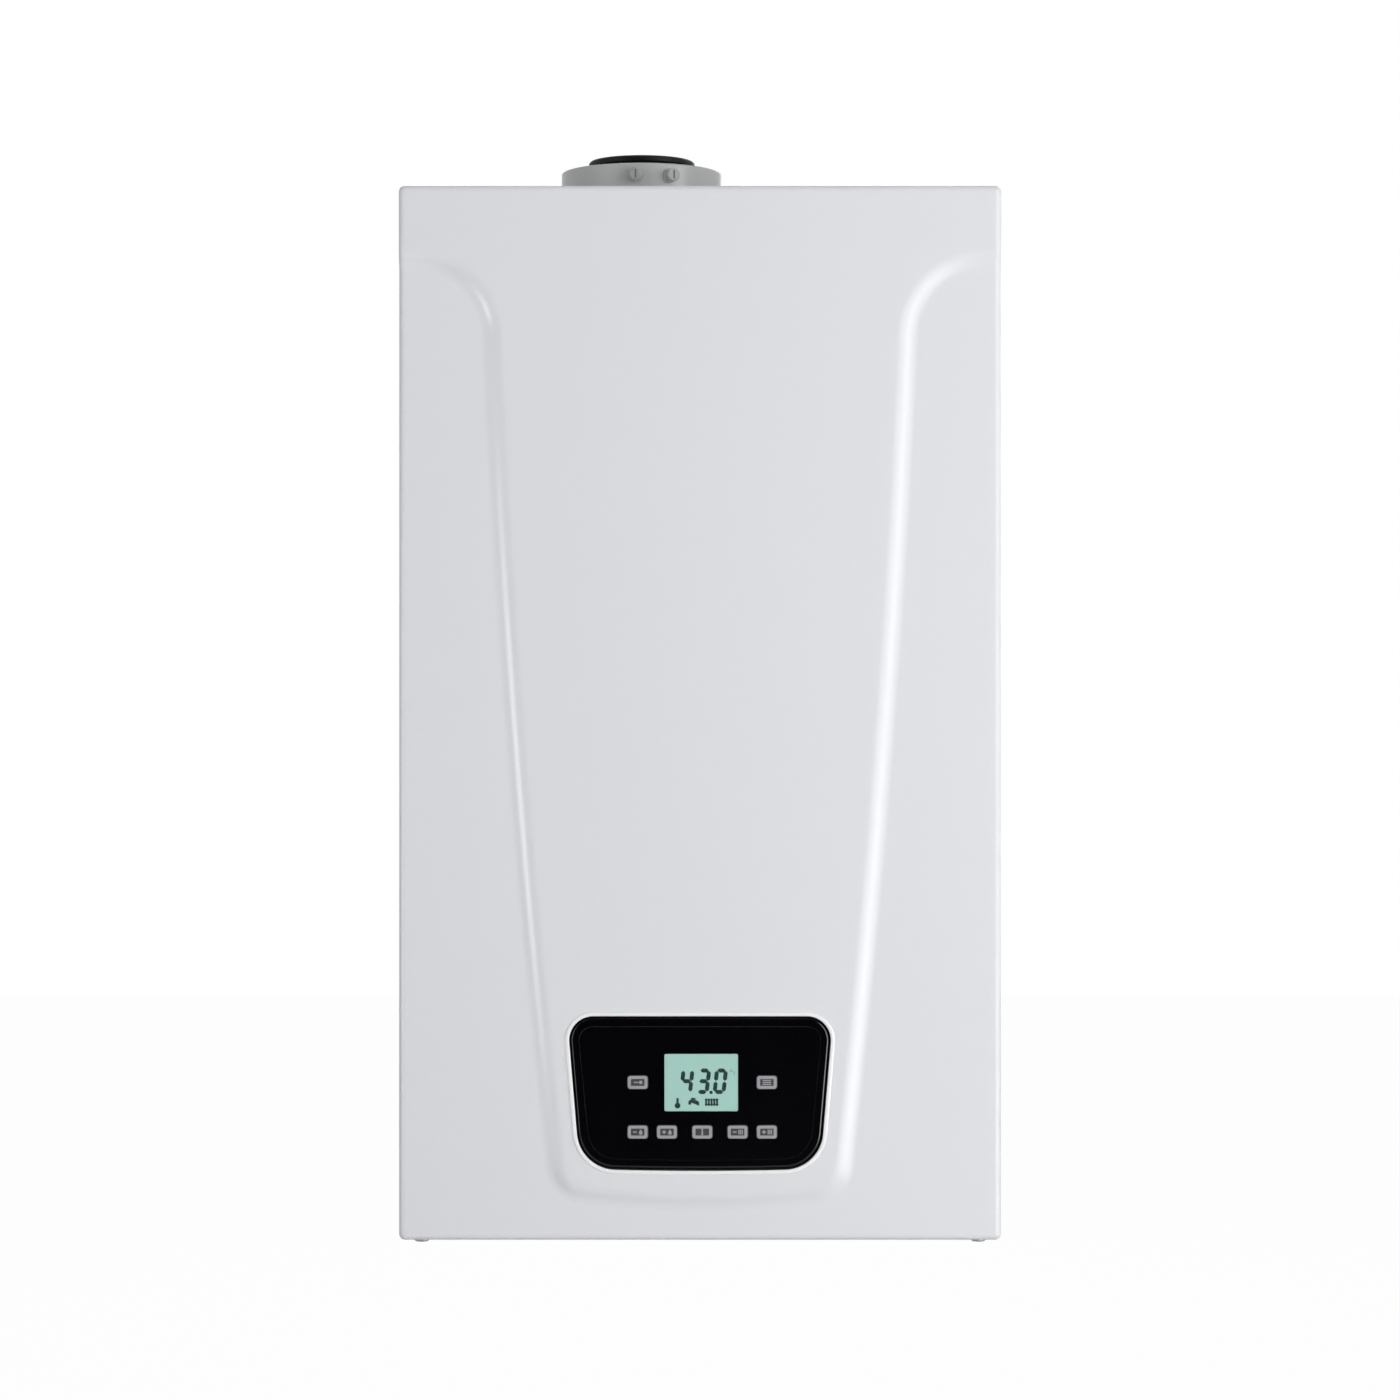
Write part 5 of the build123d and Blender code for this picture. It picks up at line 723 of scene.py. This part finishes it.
def cover_surface(inset, coarse):
    """The cover's skin as a grid of points, drawn in by inset from the outer one.

    A grid of stations (u, v) covers the face and runs on over its border. On the face, a station's x is
    u moved by the shield's half width less the waist's, faded out to the middle and the border, so that
    grid lines follow the shield's edge. Its depth is the wing's depth plus the press's height at its
    distance inside the outline. Past the border it goes round the case's edge and back to the wall side.
    """
    radius = EDGE_RADIUS - inset
    turn = 0.5 * math.pi * radius
    wall = CASE_DEPTH - SHIELD_HEIGHT - EDGE_RADIUS - COVER_BACK
    over = np.concatenate([np.linspace(0.0, turn, 8)[1:], turn + np.linspace(0.0, wall, 5)[1:]])
    across, up = face_stations(coarse)
    u, v = np.meshgrid(
        np.concatenate([-BORDER - over[::-1], -across[:0:-1], across, BORDER + over]),
        np.concatenate([up[0] - over[::-1], up, up[-1] + over]),
    )
    on_u = np.clip(u, -BORDER, BORDER)
    on_v = np.clip(v, up[0], up[-1])
    out_u = np.maximum(np.abs(u) - BORDER, 0.0)
    out_v = np.abs(v - on_v)
    side = np.abs(on_u)
    follow = smooth(side / LEAN_IN) * (1.0 - smooth((side - LEAN_OUT) / (BORDER - LEAN_OUT)))
    x = on_u + np.sign(on_u) * follow * (side_half(on_v) - WAIST_HALF)
    outwards, upwards, back = over_border(out_u, out_v, radius)
    inside = signed_distance(np.stack([x.ravel(), on_v.ravel()], axis=1), SHIELD).reshape(x.shape)
    shift = inset * math.tan(0.5 * math.atan2(SHIELD_HEIGHT, BEVEL_WIDTH))
    depth = CASE_DEPTH - SHIELD_HEIGHT - inset + pressed(inside + shift, inset) - back
    # every wall ends on the same plane, also where the shield runs over the border
    last = np.maximum(out_u, out_v) >= over[-1] - 1e-6
    depth = np.where(last, COVER_BACK, np.maximum(depth, COVER_BACK))
    x = x + np.sign(u) * outwards
    z = on_v + np.where(v > on_v, 1.0, -1.0) * upwards
    points = np.stack([x, -depth, z], axis=2).reshape(-1, 3)
    return open_window(points, grid_faces(*u.shape), CASE_DEPTH - inset)


def ring_along(loop, profile):
    """A closed profile carried along a closed loop in the front view.

    Each profile point is (how far outwards from the loop, depth); the ring's point is
    loop + outward normal x the first, at the second. The normal comes from the loop's neighbours.
    """
    way = np.roll(loop, -1, axis=0) - np.roll(loop, 1, axis=0)
    way /= np.hypot(way[:, 0], way[:, 1])[:, None]
    normal = np.stack([way[:, 1], -way[:, 0]], axis=1)
    profile = np.asarray(profile, float)
    x = loop[:, None, 0] + normal[:, None, 0] * profile[None, :, 0]
    z = loop[:, None, 1] + normal[:, None, 1] * profile[None, :, 0]
    y = -np.broadcast_to(profile[None, :, 1], x.shape)
    return np.stack([x, y, z], axis=2).reshape(-1, 3), grid_faces(len(loop), len(profile), True, True)


SHIELD = shield_loop()
outer_points, outer_faces = cover_surface(0.0, coarse=False)
inner_points, inner_faces = cover_surface(SHEET, coarse=True)
# seen from the room, u runs right and v runs up, so the outer skin's quads already face the room
skin = join_parts([(outer_points, outer_faces), (inner_points, inner_faces[:, ::-1])])
cover_panel = make_piece("cover_panel", skin[0], skin[1], "front_cover", FINISHES["case_paint"], "case_paint")

# the rim's section: (outwards from the opening, depth), from its foot on the shield round to its inside
rim_profile = [
    (2.9, CASE_DEPTH - 0.5),
    (2.82, CASE_DEPTH + 0.05),
    (2.66, CASE_DEPTH + 0.12),
    (2.6, CASE_DEPTH + 0.3),
    (2.45, CASE_DEPTH + 0.62),
    (2.2, CASE_DEPTH + 0.82),
    (1.8, CASE_DEPTH + RIM_HEIGHT),
    (0.8, CASE_DEPTH + RIM_HEIGHT),
    (0.4, CASE_DEPTH + 0.82),
    (0.15, CASE_DEPTH + 0.6),
    (0.0, CASE_DEPTH + 0.2),
    (0.0, CASE_DEPTH - SHEET - 0.05),
    (1.6, CASE_DEPTH - SHEET - 0.05),
]
rim_points, rim_faces = ring_along(window_loop(0.0), rim_profile)
# the rim wears the brightened copy of the case's paint, a painted highlight on its lip
window_rim = make_piece("window_rim", rim_points, rim_faces, "front_cover", RIM_WHITE_PAINTED_HIGHLIGHT, "case_paint")


def case_loop(inset):
    """The case's outline in the front view, drawn in by inset: four corner arcs joined by straight sides."""
    half, top, r = CASE_WIDTH / 2 - inset, CASE_HEIGHT - inset, EDGE_RADIUS - inset
    corners = [
        arc((half - r, inset + r), r, -90, 0, 9),
        arc((half - r, top - r), r, 0, 90, 9),
        arc((-half + r, top - r), r, 90, 180, 9),
        arc((-half + r, inset + r), r, 180, 270, 9),
    ]
    return np.concatenate(corners)


# the hem's section: (outwards from the case's outline, depth), round the wall's back edge to its inside
hem_profile = [
    (0.02, COVER_BACK + 0.8),
    (0.02, COVER_BACK + 0.3),
    (-0.12, COVER_BACK + 0.08),
    (-0.4, COVER_BACK),
    (-0.6, COVER_BACK),
    (-0.88, COVER_BACK + 0.08),
    (-1.02, COVER_BACK + 0.3),
    (-1.02, COVER_BACK + 0.8),
]
hem_points, hem_faces = ring_along(case_loop(0.02), hem_profile)
cover_hem = make_piece(
    "cover_hem", hem_points, hem_faces[:, ::-1], "front_cover", FINISHES["case_paint"], "case_paint"
)


def turned(profile, centre, steps=32):
    """A profile of (radius, depth) turned about an axis that runs from the wall to the room.

    Point = centre + radius (cos a, sin a) at the depth, for angles a all the way round.
    """
    profile = np.asarray(profile, float)
    angle = np.linspace(0.0, 2.0 * math.pi, steps, endpoint=False)
    x = centre[0] + profile[None, :, 0] * np.cos(angle)[:, None]
    z = centre[1] + profile[None, :, 0] * np.sin(angle)[:, None]
    y = -np.broadcast_to(profile[None, :, 1], x.shape)
    points = np.stack([x, y, z], axis=2).reshape(-1, 3)
    faces = grid_faces(steps, len(profile), wrap_rows=True).tolist()
    faces.append([k * len(profile) for k in range(steps)][::-1])
    faces.append([k * len(profile) + len(profile) - 1 for k in range(steps)])
    return points, faces


# a stud's section: (radius, depth), from its foot on the cover to its chamfered tip
stud_profile = [
    (4.6, CASE_DEPTH - SHEET + 0.2),
    (4.2, CASE_DEPTH - SHEET - 0.5),
    (3.2, CASE_DEPTH - SHEET - 0.9),
    (STUD_RADIUS, CASE_DEPTH - SHEET - 1.6),
    (STUD_RADIUS, STUD_TIP + 1.5),
    (2.5, STUD_TIP + 0.4),
    (1.9, STUD_TIP),
]
studs = [turned(stud_profile, (side * STUD_X, STUD_Z)) for side in (-1, 1)]
stud_points, stud_faces = join_parts(studs)
cover_studs = make_piece(
    "cover_studs", stud_points, stud_faces, "front_cover", FINISHES["fastener_zinc"], "fastener_zinc"
)
for piece in (cover_panel, window_rim, cover_hem, cover_studs):
    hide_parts("front_cover")


# ------------------------------------------------------------------ printed marks, in mm
# half a mark's thickness, how far one mark stands out on another, and the display's marks off its glass
PRINT_HALF = 0.02
OVERPRINT = 0.005
MARK_LIFT = 0.03
# how far a key's dark field lies behind the front of its frame, and its sign before it
FIELD_DROP = 0.01
SIGN_LIFT = 0.012

KEY_FRAME = (13.0, 8.6)
KEY_FRAME_RADIUS = 1.7
KEY_FRAME_LINE = 2.0
KEY_FIELD = (9.0, 4.6)
KEY_FIELD_RADIUS = 0.5
KEYS = (
    "key_reset",
    "key_mode",
    "key_water_less",
    "key_water_more",
    "key_info",
    "key_heating_less",
    "key_heating_more",
)

FIGURE_WIDTH = 5.9
FIGURE_HEIGHT = 14.2
FIGURE_STROKE = 2.7
FIGURE_SLANT = 0.11

# the picture's scale at the panel, its middle in pixels, and the height above z = 0 that its middle shows
PIXELS_PER_MM = 1.504
PICTURE_MIDDLE = 700.0
MIDDLE_HEIGHT = 358.7

# where the marks on the display stand, in the picture's pixels
FIGURE_FOOT = 1090.6
FIGURE_LEFTS = {"4": 681.2, "3": 697.8, "0": 714.6}
DOT_MIDDLE = (711.0, 1091.0)
BULB_MIDDLE = (677.6, 1104.2)
TAP_MIDDLE = (694.0, 1101.0)
RADIATOR_MIDDLE = (711.5, 1100.8)
DEGREE_MIDDLE = (731.0, 1069.5)
UNIT_MIDDLE = (735.0, 1071.0)

# outlines of two signs about their middles
TAP_BODY = [
    (-3.7, -1.5),
    (-2.0, -1.5),
    (-1.8, -0.2),
    (1.2, -1.3),
    (3.4, -2.3),
    (3.4, 0.3),
    (1.6, 1.4),
    (-0.9, 2.3),
    (-2.8, 1.7),
    (-3.7, 0.4),
]
DROP = [
    (0, 1.9),
    (-1.15, -0.1),
    (-1.2, -1.0),
    (-0.6, -1.7),
    (0, -1.85),
    (0.6, -1.7),
    (1.2, -1.0),
    (1.15, -0.1),
]


def rounded_box(centre, width, height, radius, steps=7):
    """Outline of a rounded box in the front view, anticlockwise: an arc about each corner, drawn in by it."""
    cx, cz = centre
    w, h = width / 2 - radius, height / 2 - radius
    return np.concatenate(
        [
            arc((cx + w, cz - h), radius, -90, 0, steps),
            arc((cx + w, cz + h), radius, 0, 90, steps),
            arc((cx - w, cz + h), radius, 90, 180, steps),
            arc((cx - w, cz - h), radius, 180, 270, steps),
        ]
    )


def plate(outline, front):
    """A thin printed shape: its outline at the front and again a little behind, two faces and a skirt."""
    outline = np.asarray(outline, float)
    count = len(outline)
    near = np.stack([outline[:, 0], np.full(count, -front - PRINT_HALF), outline[:, 1]], axis=1)
    far = np.stack([outline[:, 0], np.full(count, -front + PRINT_HALF), outline[:, 1]], axis=1)
    faces = [list(range(count))]
    faces += [[k, k + count, (k + 1) % count + count, (k + 1) % count] for k in range(count)]
    faces.append(list(range(count, 2 * count))[::-1])
    return np.concatenate([near, far]), faces


def frame_ring(centre, width, height, radius, line, front):
    """A printed rounded frame of this line width: two outlines, each at two depths, joined in a ring."""
    outer = rounded_box(centre, width, height, radius)
    inner = rounded_box(centre, width - 2 * line, height - 2 * line, max(radius - line, 0.3))
    count = len(outer)
    back, near = front - PRINT_HALF, front + PRINT_HALF
    loops = []
    for loop, depth in ((outer, back), (outer, near), (inner, near), (inner, back)):
        loops.append(np.stack([loop[:, 0], np.full(count, -depth), loop[:, 1]], axis=1))
    points = np.stack(loops, axis=1).reshape(-1, 3)
    return points, grid_faces(count, 4, True, True)


def bar(start, end, width, front):
    """A straight stroke with square ends: the line from start to end, half the width out to each side."""
    start, end = np.array(start, float), np.array(end, float)
    way = (end - start) / np.linalg.norm(end - start)
    side = np.array([way[1], -way[0]]) * width / 2
    return plate([start + side, end + side, end - side, start - side], front)


def disc(centre, radius, front, steps=20):
    """A printed dot: points at the radius, evenly all the way round."""
    return plate(arc(centre, radius, 0, 360 * (1 - 1 / steps), steps), front)


SEGMENTS = {
    "a": ((0, 2), (1, 2)),
    "b": ((1, 2), (1, 1)),
    "c": ((1, 1), (1, 0)),
    "d": ((0, 0), (1, 0)),
    "e": ((0, 1), (0, 0)),
    "f": ((0, 2), (0, 1)),
    "g": ((0, 1), (1, 1)),
}
FIGURES = {"0": "abcdef", "3": "abcdg", "4": "bcfg"}


def figure(character, corner, front):
    """A seven-segment figure: pointed bars between the corners of a slanted two-storey box."""
    gap, taper = 0.18, FIGURE_STROKE * 0.45
    parts = []
    for name in FIGURES[character]:
        ends = []
        for cx, cz in SEGMENTS[name]:
            z = corner[1] + cz * FIGURE_HEIGHT / 2
            ends.append(np.array([corner[0] + cx * FIGURE_WIDTH + (z - corner[1]) * FIGURE_SLANT, z]))
        way = ends[1] - ends[0]
        way /= np.linalg.norm(way)
        side = np.array([way[1], -way[0]]) * FIGURE_STROKE / 2
        first, last = ends[0] + way * gap, ends[1] - way * gap
        a, b = first + way * taper, last - way * taper
        parts.append(plate([first, a + side, b + side, last, b - side, a - side], front))
    return parts


def picture_point(px, py):
    """Where a pixel of the picture lies at the panel: its way from the middle over the picture's scale."""
    x = (px - PICTURE_MIDDLE) / PIXELS_PER_MM
    return x, MIDDLE_HEIGHT + (PICTURE_MIDDLE - py) / PIXELS_PER_MM


def thermometer(front):
    """A round bulb with a stem above it."""
    x, z = picture_point(*BULB_MIDDLE)
    stem = rounded_box((x, z + 2.8), 1.5, 4.6, 0.6, 4)
    return [disc((x, z), 1.9, front), plate(stem, front + OVERPRINT)]


def tap(front):
    """Spout and body in one outline, with a bar above for the handle."""
    x, z = picture_point(*TAP_MIDDLE)
    body = plate(np.array(TAP_BODY) + np.array([x, z]), front)
    return [body, bar((x - 1.9, z + 2.7), (x + 1.2, z + 2.3), 0.9, front + OVERPRINT)]


def radiator(front):
    """Five upright ribs with two bars across."""
    x, z = picture_point(*RADIATOR_MIDDLE)
    parts = [plate(rounded_box((x - 3.6 + 1.8 * k, z), 1.3, 5.0, 0.4, 4), front) for k in range(5)]
    for height in (z + 1.5, z - 1.5):
        parts.append(bar((x - 4.4, height), (x + 4.6, height), 0.8, front + OVERPRINT))
    return parts


glass_front = -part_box("display_glass")[0][1] / MM
mark_front = glass_front + MARK_LIFT

digits = []
for character, left in FIGURE_LEFTS.items():
    digits += figure(character, picture_point(left, FIGURE_FOOT), mark_front)
digits.append(plate(rounded_box(picture_point(*DOT_MIDDLE), 2.0, 2.0, 0.3, 3), mark_front))
digits += thermometer(mark_front) + tap(mark_front) + radiator(mark_front)
make_piece(
    "display_marks", *join_parts(digits), "control_box", LCD_DARK, "display", smooth_shading=False
)

# the degree ring, and the upright stroke of the unit beside it
unit_x, unit_z = picture_point(*UNIT_MIDDLE)
faint = [
    frame_ring(picture_point(*DEGREE_MIDDLE), 1.9, 1.9, 0.9, 0.45, mark_front),
    plate(rounded_box((unit_x - 0.6, unit_z - 0.4), 0.6, 2.6, 0.25, 3), mark_front),
]
make_piece(
    "display_degree", *join_parts(faint), "control_box", LCD_FAINT, "display", smooth_shading=False
)


def key_glyph(kind, centre, front):
    """A small plain sign on a key, drawn with strokes, dots and boxes about its middle."""
    x, z = centre
    if kind == "key_reset":
        return [bar((x - 2.6, z), (x + 0.4, z), 0.8, front), disc((x + 2.0, z), 1.2, front)]
    if kind == "key_mode":
        return [bar((x - 2.8, z + k), (x + 2.8, z + k), 0.7, front) for k in (-1.3, 0.0, 1.3)]
    if kind == "key_info":
        return [disc((x, z + 1.6), 0.65, front), plate(rounded_box((x, z - 0.7), 1.1, 2.9, 0.3, 3), front)]
    sign = [bar((x - 3.1, z), (x - 0.7, z), 0.8, front)]
    if kind.endswith("more"):
        sign.append(bar((x - 1.9, z - 1.2), (x - 1.9, z + 1.2), 0.8, front + OVERPRINT))
    if "water" in kind:
        sign.append(plate(np.array(DROP) + np.array([x + 2.0, z]), front))
    else:
        sign += [plate(rounded_box((x + 0.9 + 1.1 * k, z), 0.7, 3.2, 0.25, 3), front) for k in range(3)]
    return sign


for name in KEYS:
    low, high = (np.array(v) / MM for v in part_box(name))
    centre = ((low[0] + high[0]) / 2, (low[2] + high[2]) / 2)
    front = -low[1] + PRINT_HALF
    field = rounded_box(centre, *KEY_FIELD, KEY_FIELD_RADIUS, 4)
    marks = {
        "frame": (frame_ring(centre, *KEY_FRAME, KEY_FRAME_RADIUS, KEY_FRAME_LINE, front), PRINT_GREY),
        "field": (plate(field, front - FIELD_DROP), PRINT_DARK),
        "sign": (join_parts(key_glyph(name, centre, front + SIGN_LIFT)), PRINT_GREY),
    }
    for label, (mark, ink) in marks.items():
        make_piece(f"{name}_{label}", *mark, name, ink, "key_grey", smooth_shading=False)


# ------------------------------------------------------------------ floor, world, light and camera, in metres
FLOOR_Z = -0.45
FLOOR_FRONT = -2.9
FLOOR_FAR = 7.0
CAMERA_PLACE = (0.0, -2.639, 0.3588)
# sensor and lens are in mm, as Blender has them
CAMERA_SENSOR = 36.0
CAMERA_LENS = 90.8


def floor_material():
    """Pale floor: plain diffuse, and for the camera mostly its own white, so that a faint shadow stays.

    The camera sees own_white of the glow and the rest of the lit surface; all other rays see the surface.
    """
    own_white = 0.98
    material = bpy.data.materials.new("pale_floor")
    material.use_nodes = True
    tree = material.node_tree
    tree.nodes.clear()
    output = tree.nodes.new("ShaderNodeOutputMaterial")
    diffuse = tree.nodes.new("ShaderNodeBsdfDiffuse")
    diffuse.inputs["Color"].default_value = (0.62, 0.62, 0.62, 1.0)
    glow = tree.nodes.new("ShaderNodeEmission")
    glow.inputs["Strength"].default_value = 1.0
    ray = tree.nodes.new("ShaderNodeLightPath")
    share = math_node(tree, "MULTIPLY", ray.outputs["Is Camera Ray"], own_white)
    mix = tree.nodes.new("ShaderNodeMixShader")
    tree.links.new(share, mix.inputs[0])
    tree.links.new(diffuse.outputs[0], mix.inputs[1])
    tree.links.new(glow.outputs[0], mix.inputs[2])
    tree.links.new(mix.outputs[0], output.inputs["Surface"])
    return material


# it ends behind the camera, so that the gloss black panel mirrors the dim room and not a lit floor
floor_mesh = bpy.data.meshes.new("floor")
floor_mesh.from_pydata(
    [
        (-FLOOR_FAR, FLOOR_FRONT, FLOOR_Z),
        (FLOOR_FAR, FLOOR_FRONT, FLOOR_Z),
        (FLOOR_FAR, FLOOR_FAR, FLOOR_Z),
        (-FLOOR_FAR, FLOOR_FAR, FLOOR_Z),
    ],
    [],
    [(0, 1, 2, 3)],
)
floor_mesh.materials.append(floor_material())
floor = bpy.data.objects.new("floor", floor_mesh)
bpy.context.scene.collection.objects.link(floor)


def studio_world():
    """White for the camera, soft grey for diffuse light, and a room of its own for gloss.

    For gloss the room in front is dim and the sides are bright. For gloss and diffuse light alike the
    ceiling is dimmer than the walls.
    """
    world = bpy.data.worlds.new("studio")
    world.use_nodes = True
    tree = world.node_tree
    white, soft_grey = (1.0, 1.0, 1.0), (0.43, 0.435, 0.445)
    background = tree.nodes["Background"]
    direction = tree.nodes.new("ShaderNodeTexCoord")
    axes = tree.nodes.new("ShaderNodeSeparateXYZ")
    tree.links.new(direction.outputs["Generated"], axes.inputs[0])
    rays = tree.nodes.new("ShaderNodeLightPath")
    gloss = rays.outputs["Is Glossy Ray"]
    front_dim = map_range(tree, axes.outputs["Y"], -0.75, 0.1, 0.004, 0.95)
    soft = mix_colour(tree, gloss, soft_grey, white)
    dimmed = mix_colour(tree, gloss, white, front_dim)
    lit = mix_colour(tree, 1.0, soft, dimmed, "MULTIPLY")
    ceiling = map_range(tree, axes.outputs["Z"], 0.05, 0.8, 1.0, 0.35)
    lit = mix_colour(tree, 1.0, lit, ceiling, "MULTIPLY")
    seen = mix_colour(tree, rays.outputs["Is Camera Ray"], lit, white)
    tree.links.new(seen, background.inputs["Color"])
    background.inputs["Strength"].default_value = 1.0
    return world


bpy.context.scene.world = studio_world()


def area_light(name, place, target, size, power):
    """A square area light at a place, turned towards a target, in metres and watts.

    Its pitch is the angle of its way from straight down. Its turn is the way's heading about z, less a
    quarter turn.
    """
    data = bpy.data.lights.new(name, "AREA")
    data.shape = "SQUARE"
    data.size = size
    data.energy = power
    light = bpy.data.objects.new(name, data)
    bpy.context.scene.collection.objects.link(light)
    light.location = place
    way = np.array(target, float) - np.array(place, float)
    pitch = math.atan2(math.hypot(way[0], way[1]), -way[2])
    turn = math.atan2(way[1], way[0]) - math.pi / 2
    light.rotation_euler = (pitch, 0.0, turn)
    light.visible_camera = False
    return light


area_light("key_right", (1.5, -1.75, 0.3), (0.0, -0.25, 0.35), 1.8, 35.5)
area_light("fill_left", (-2.4, -2.2, 0.3), (0.0, -0.25, 0.3), 1.8, 20.0)
area_light("top_soft", (0.1, -0.6, 2.6), (0.0, -0.2, 0.4), 1.6, 6.0)
area_light("back_soft", (0.3, 2.4, 1.5), (0.0, 0.0, 0.35), 1.8, 24.0)


def gloss_light(name, place, target, width, height, power):
    """An upright area light that lights no diffuse surface, so it only shows as gloss."""
    light = area_light(name, place, target, width, power)
    light.data.shape = "RECTANGLE"
    light.data.size_y = height
    light.visible_diffuse = False


gloss_light("strip_right", (1.95, -1.55, 0.25), (0.1, -0.3, 0.3), 0.42, 2.0, 8.5)
gloss_light("strip_low", (1.0, -1.15, -0.3), (0.1, -0.3, 0.6), 0.7, 0.7, 4.0)
gloss_light("strip_left", (-1.95, -1.55, 0.12), (-0.1, -0.3, 0.3), 0.3, 0.75, 14.5)

camera_data = bpy.data.cameras.new("camera")
camera_data.sensor_width = CAMERA_SENSOR
camera_data.lens = CAMERA_LENS
camera = bpy.data.objects.new("camera", camera_data)
camera.location = CAMERA_PLACE
camera.rotation_euler = (math.radians(90.0), 0.0, 0.0)
bpy.context.scene.collection.objects.link(camera)
bpy.context.scene.camera = camera
bpy.context.scene.view_settings.view_transform = "Standard"
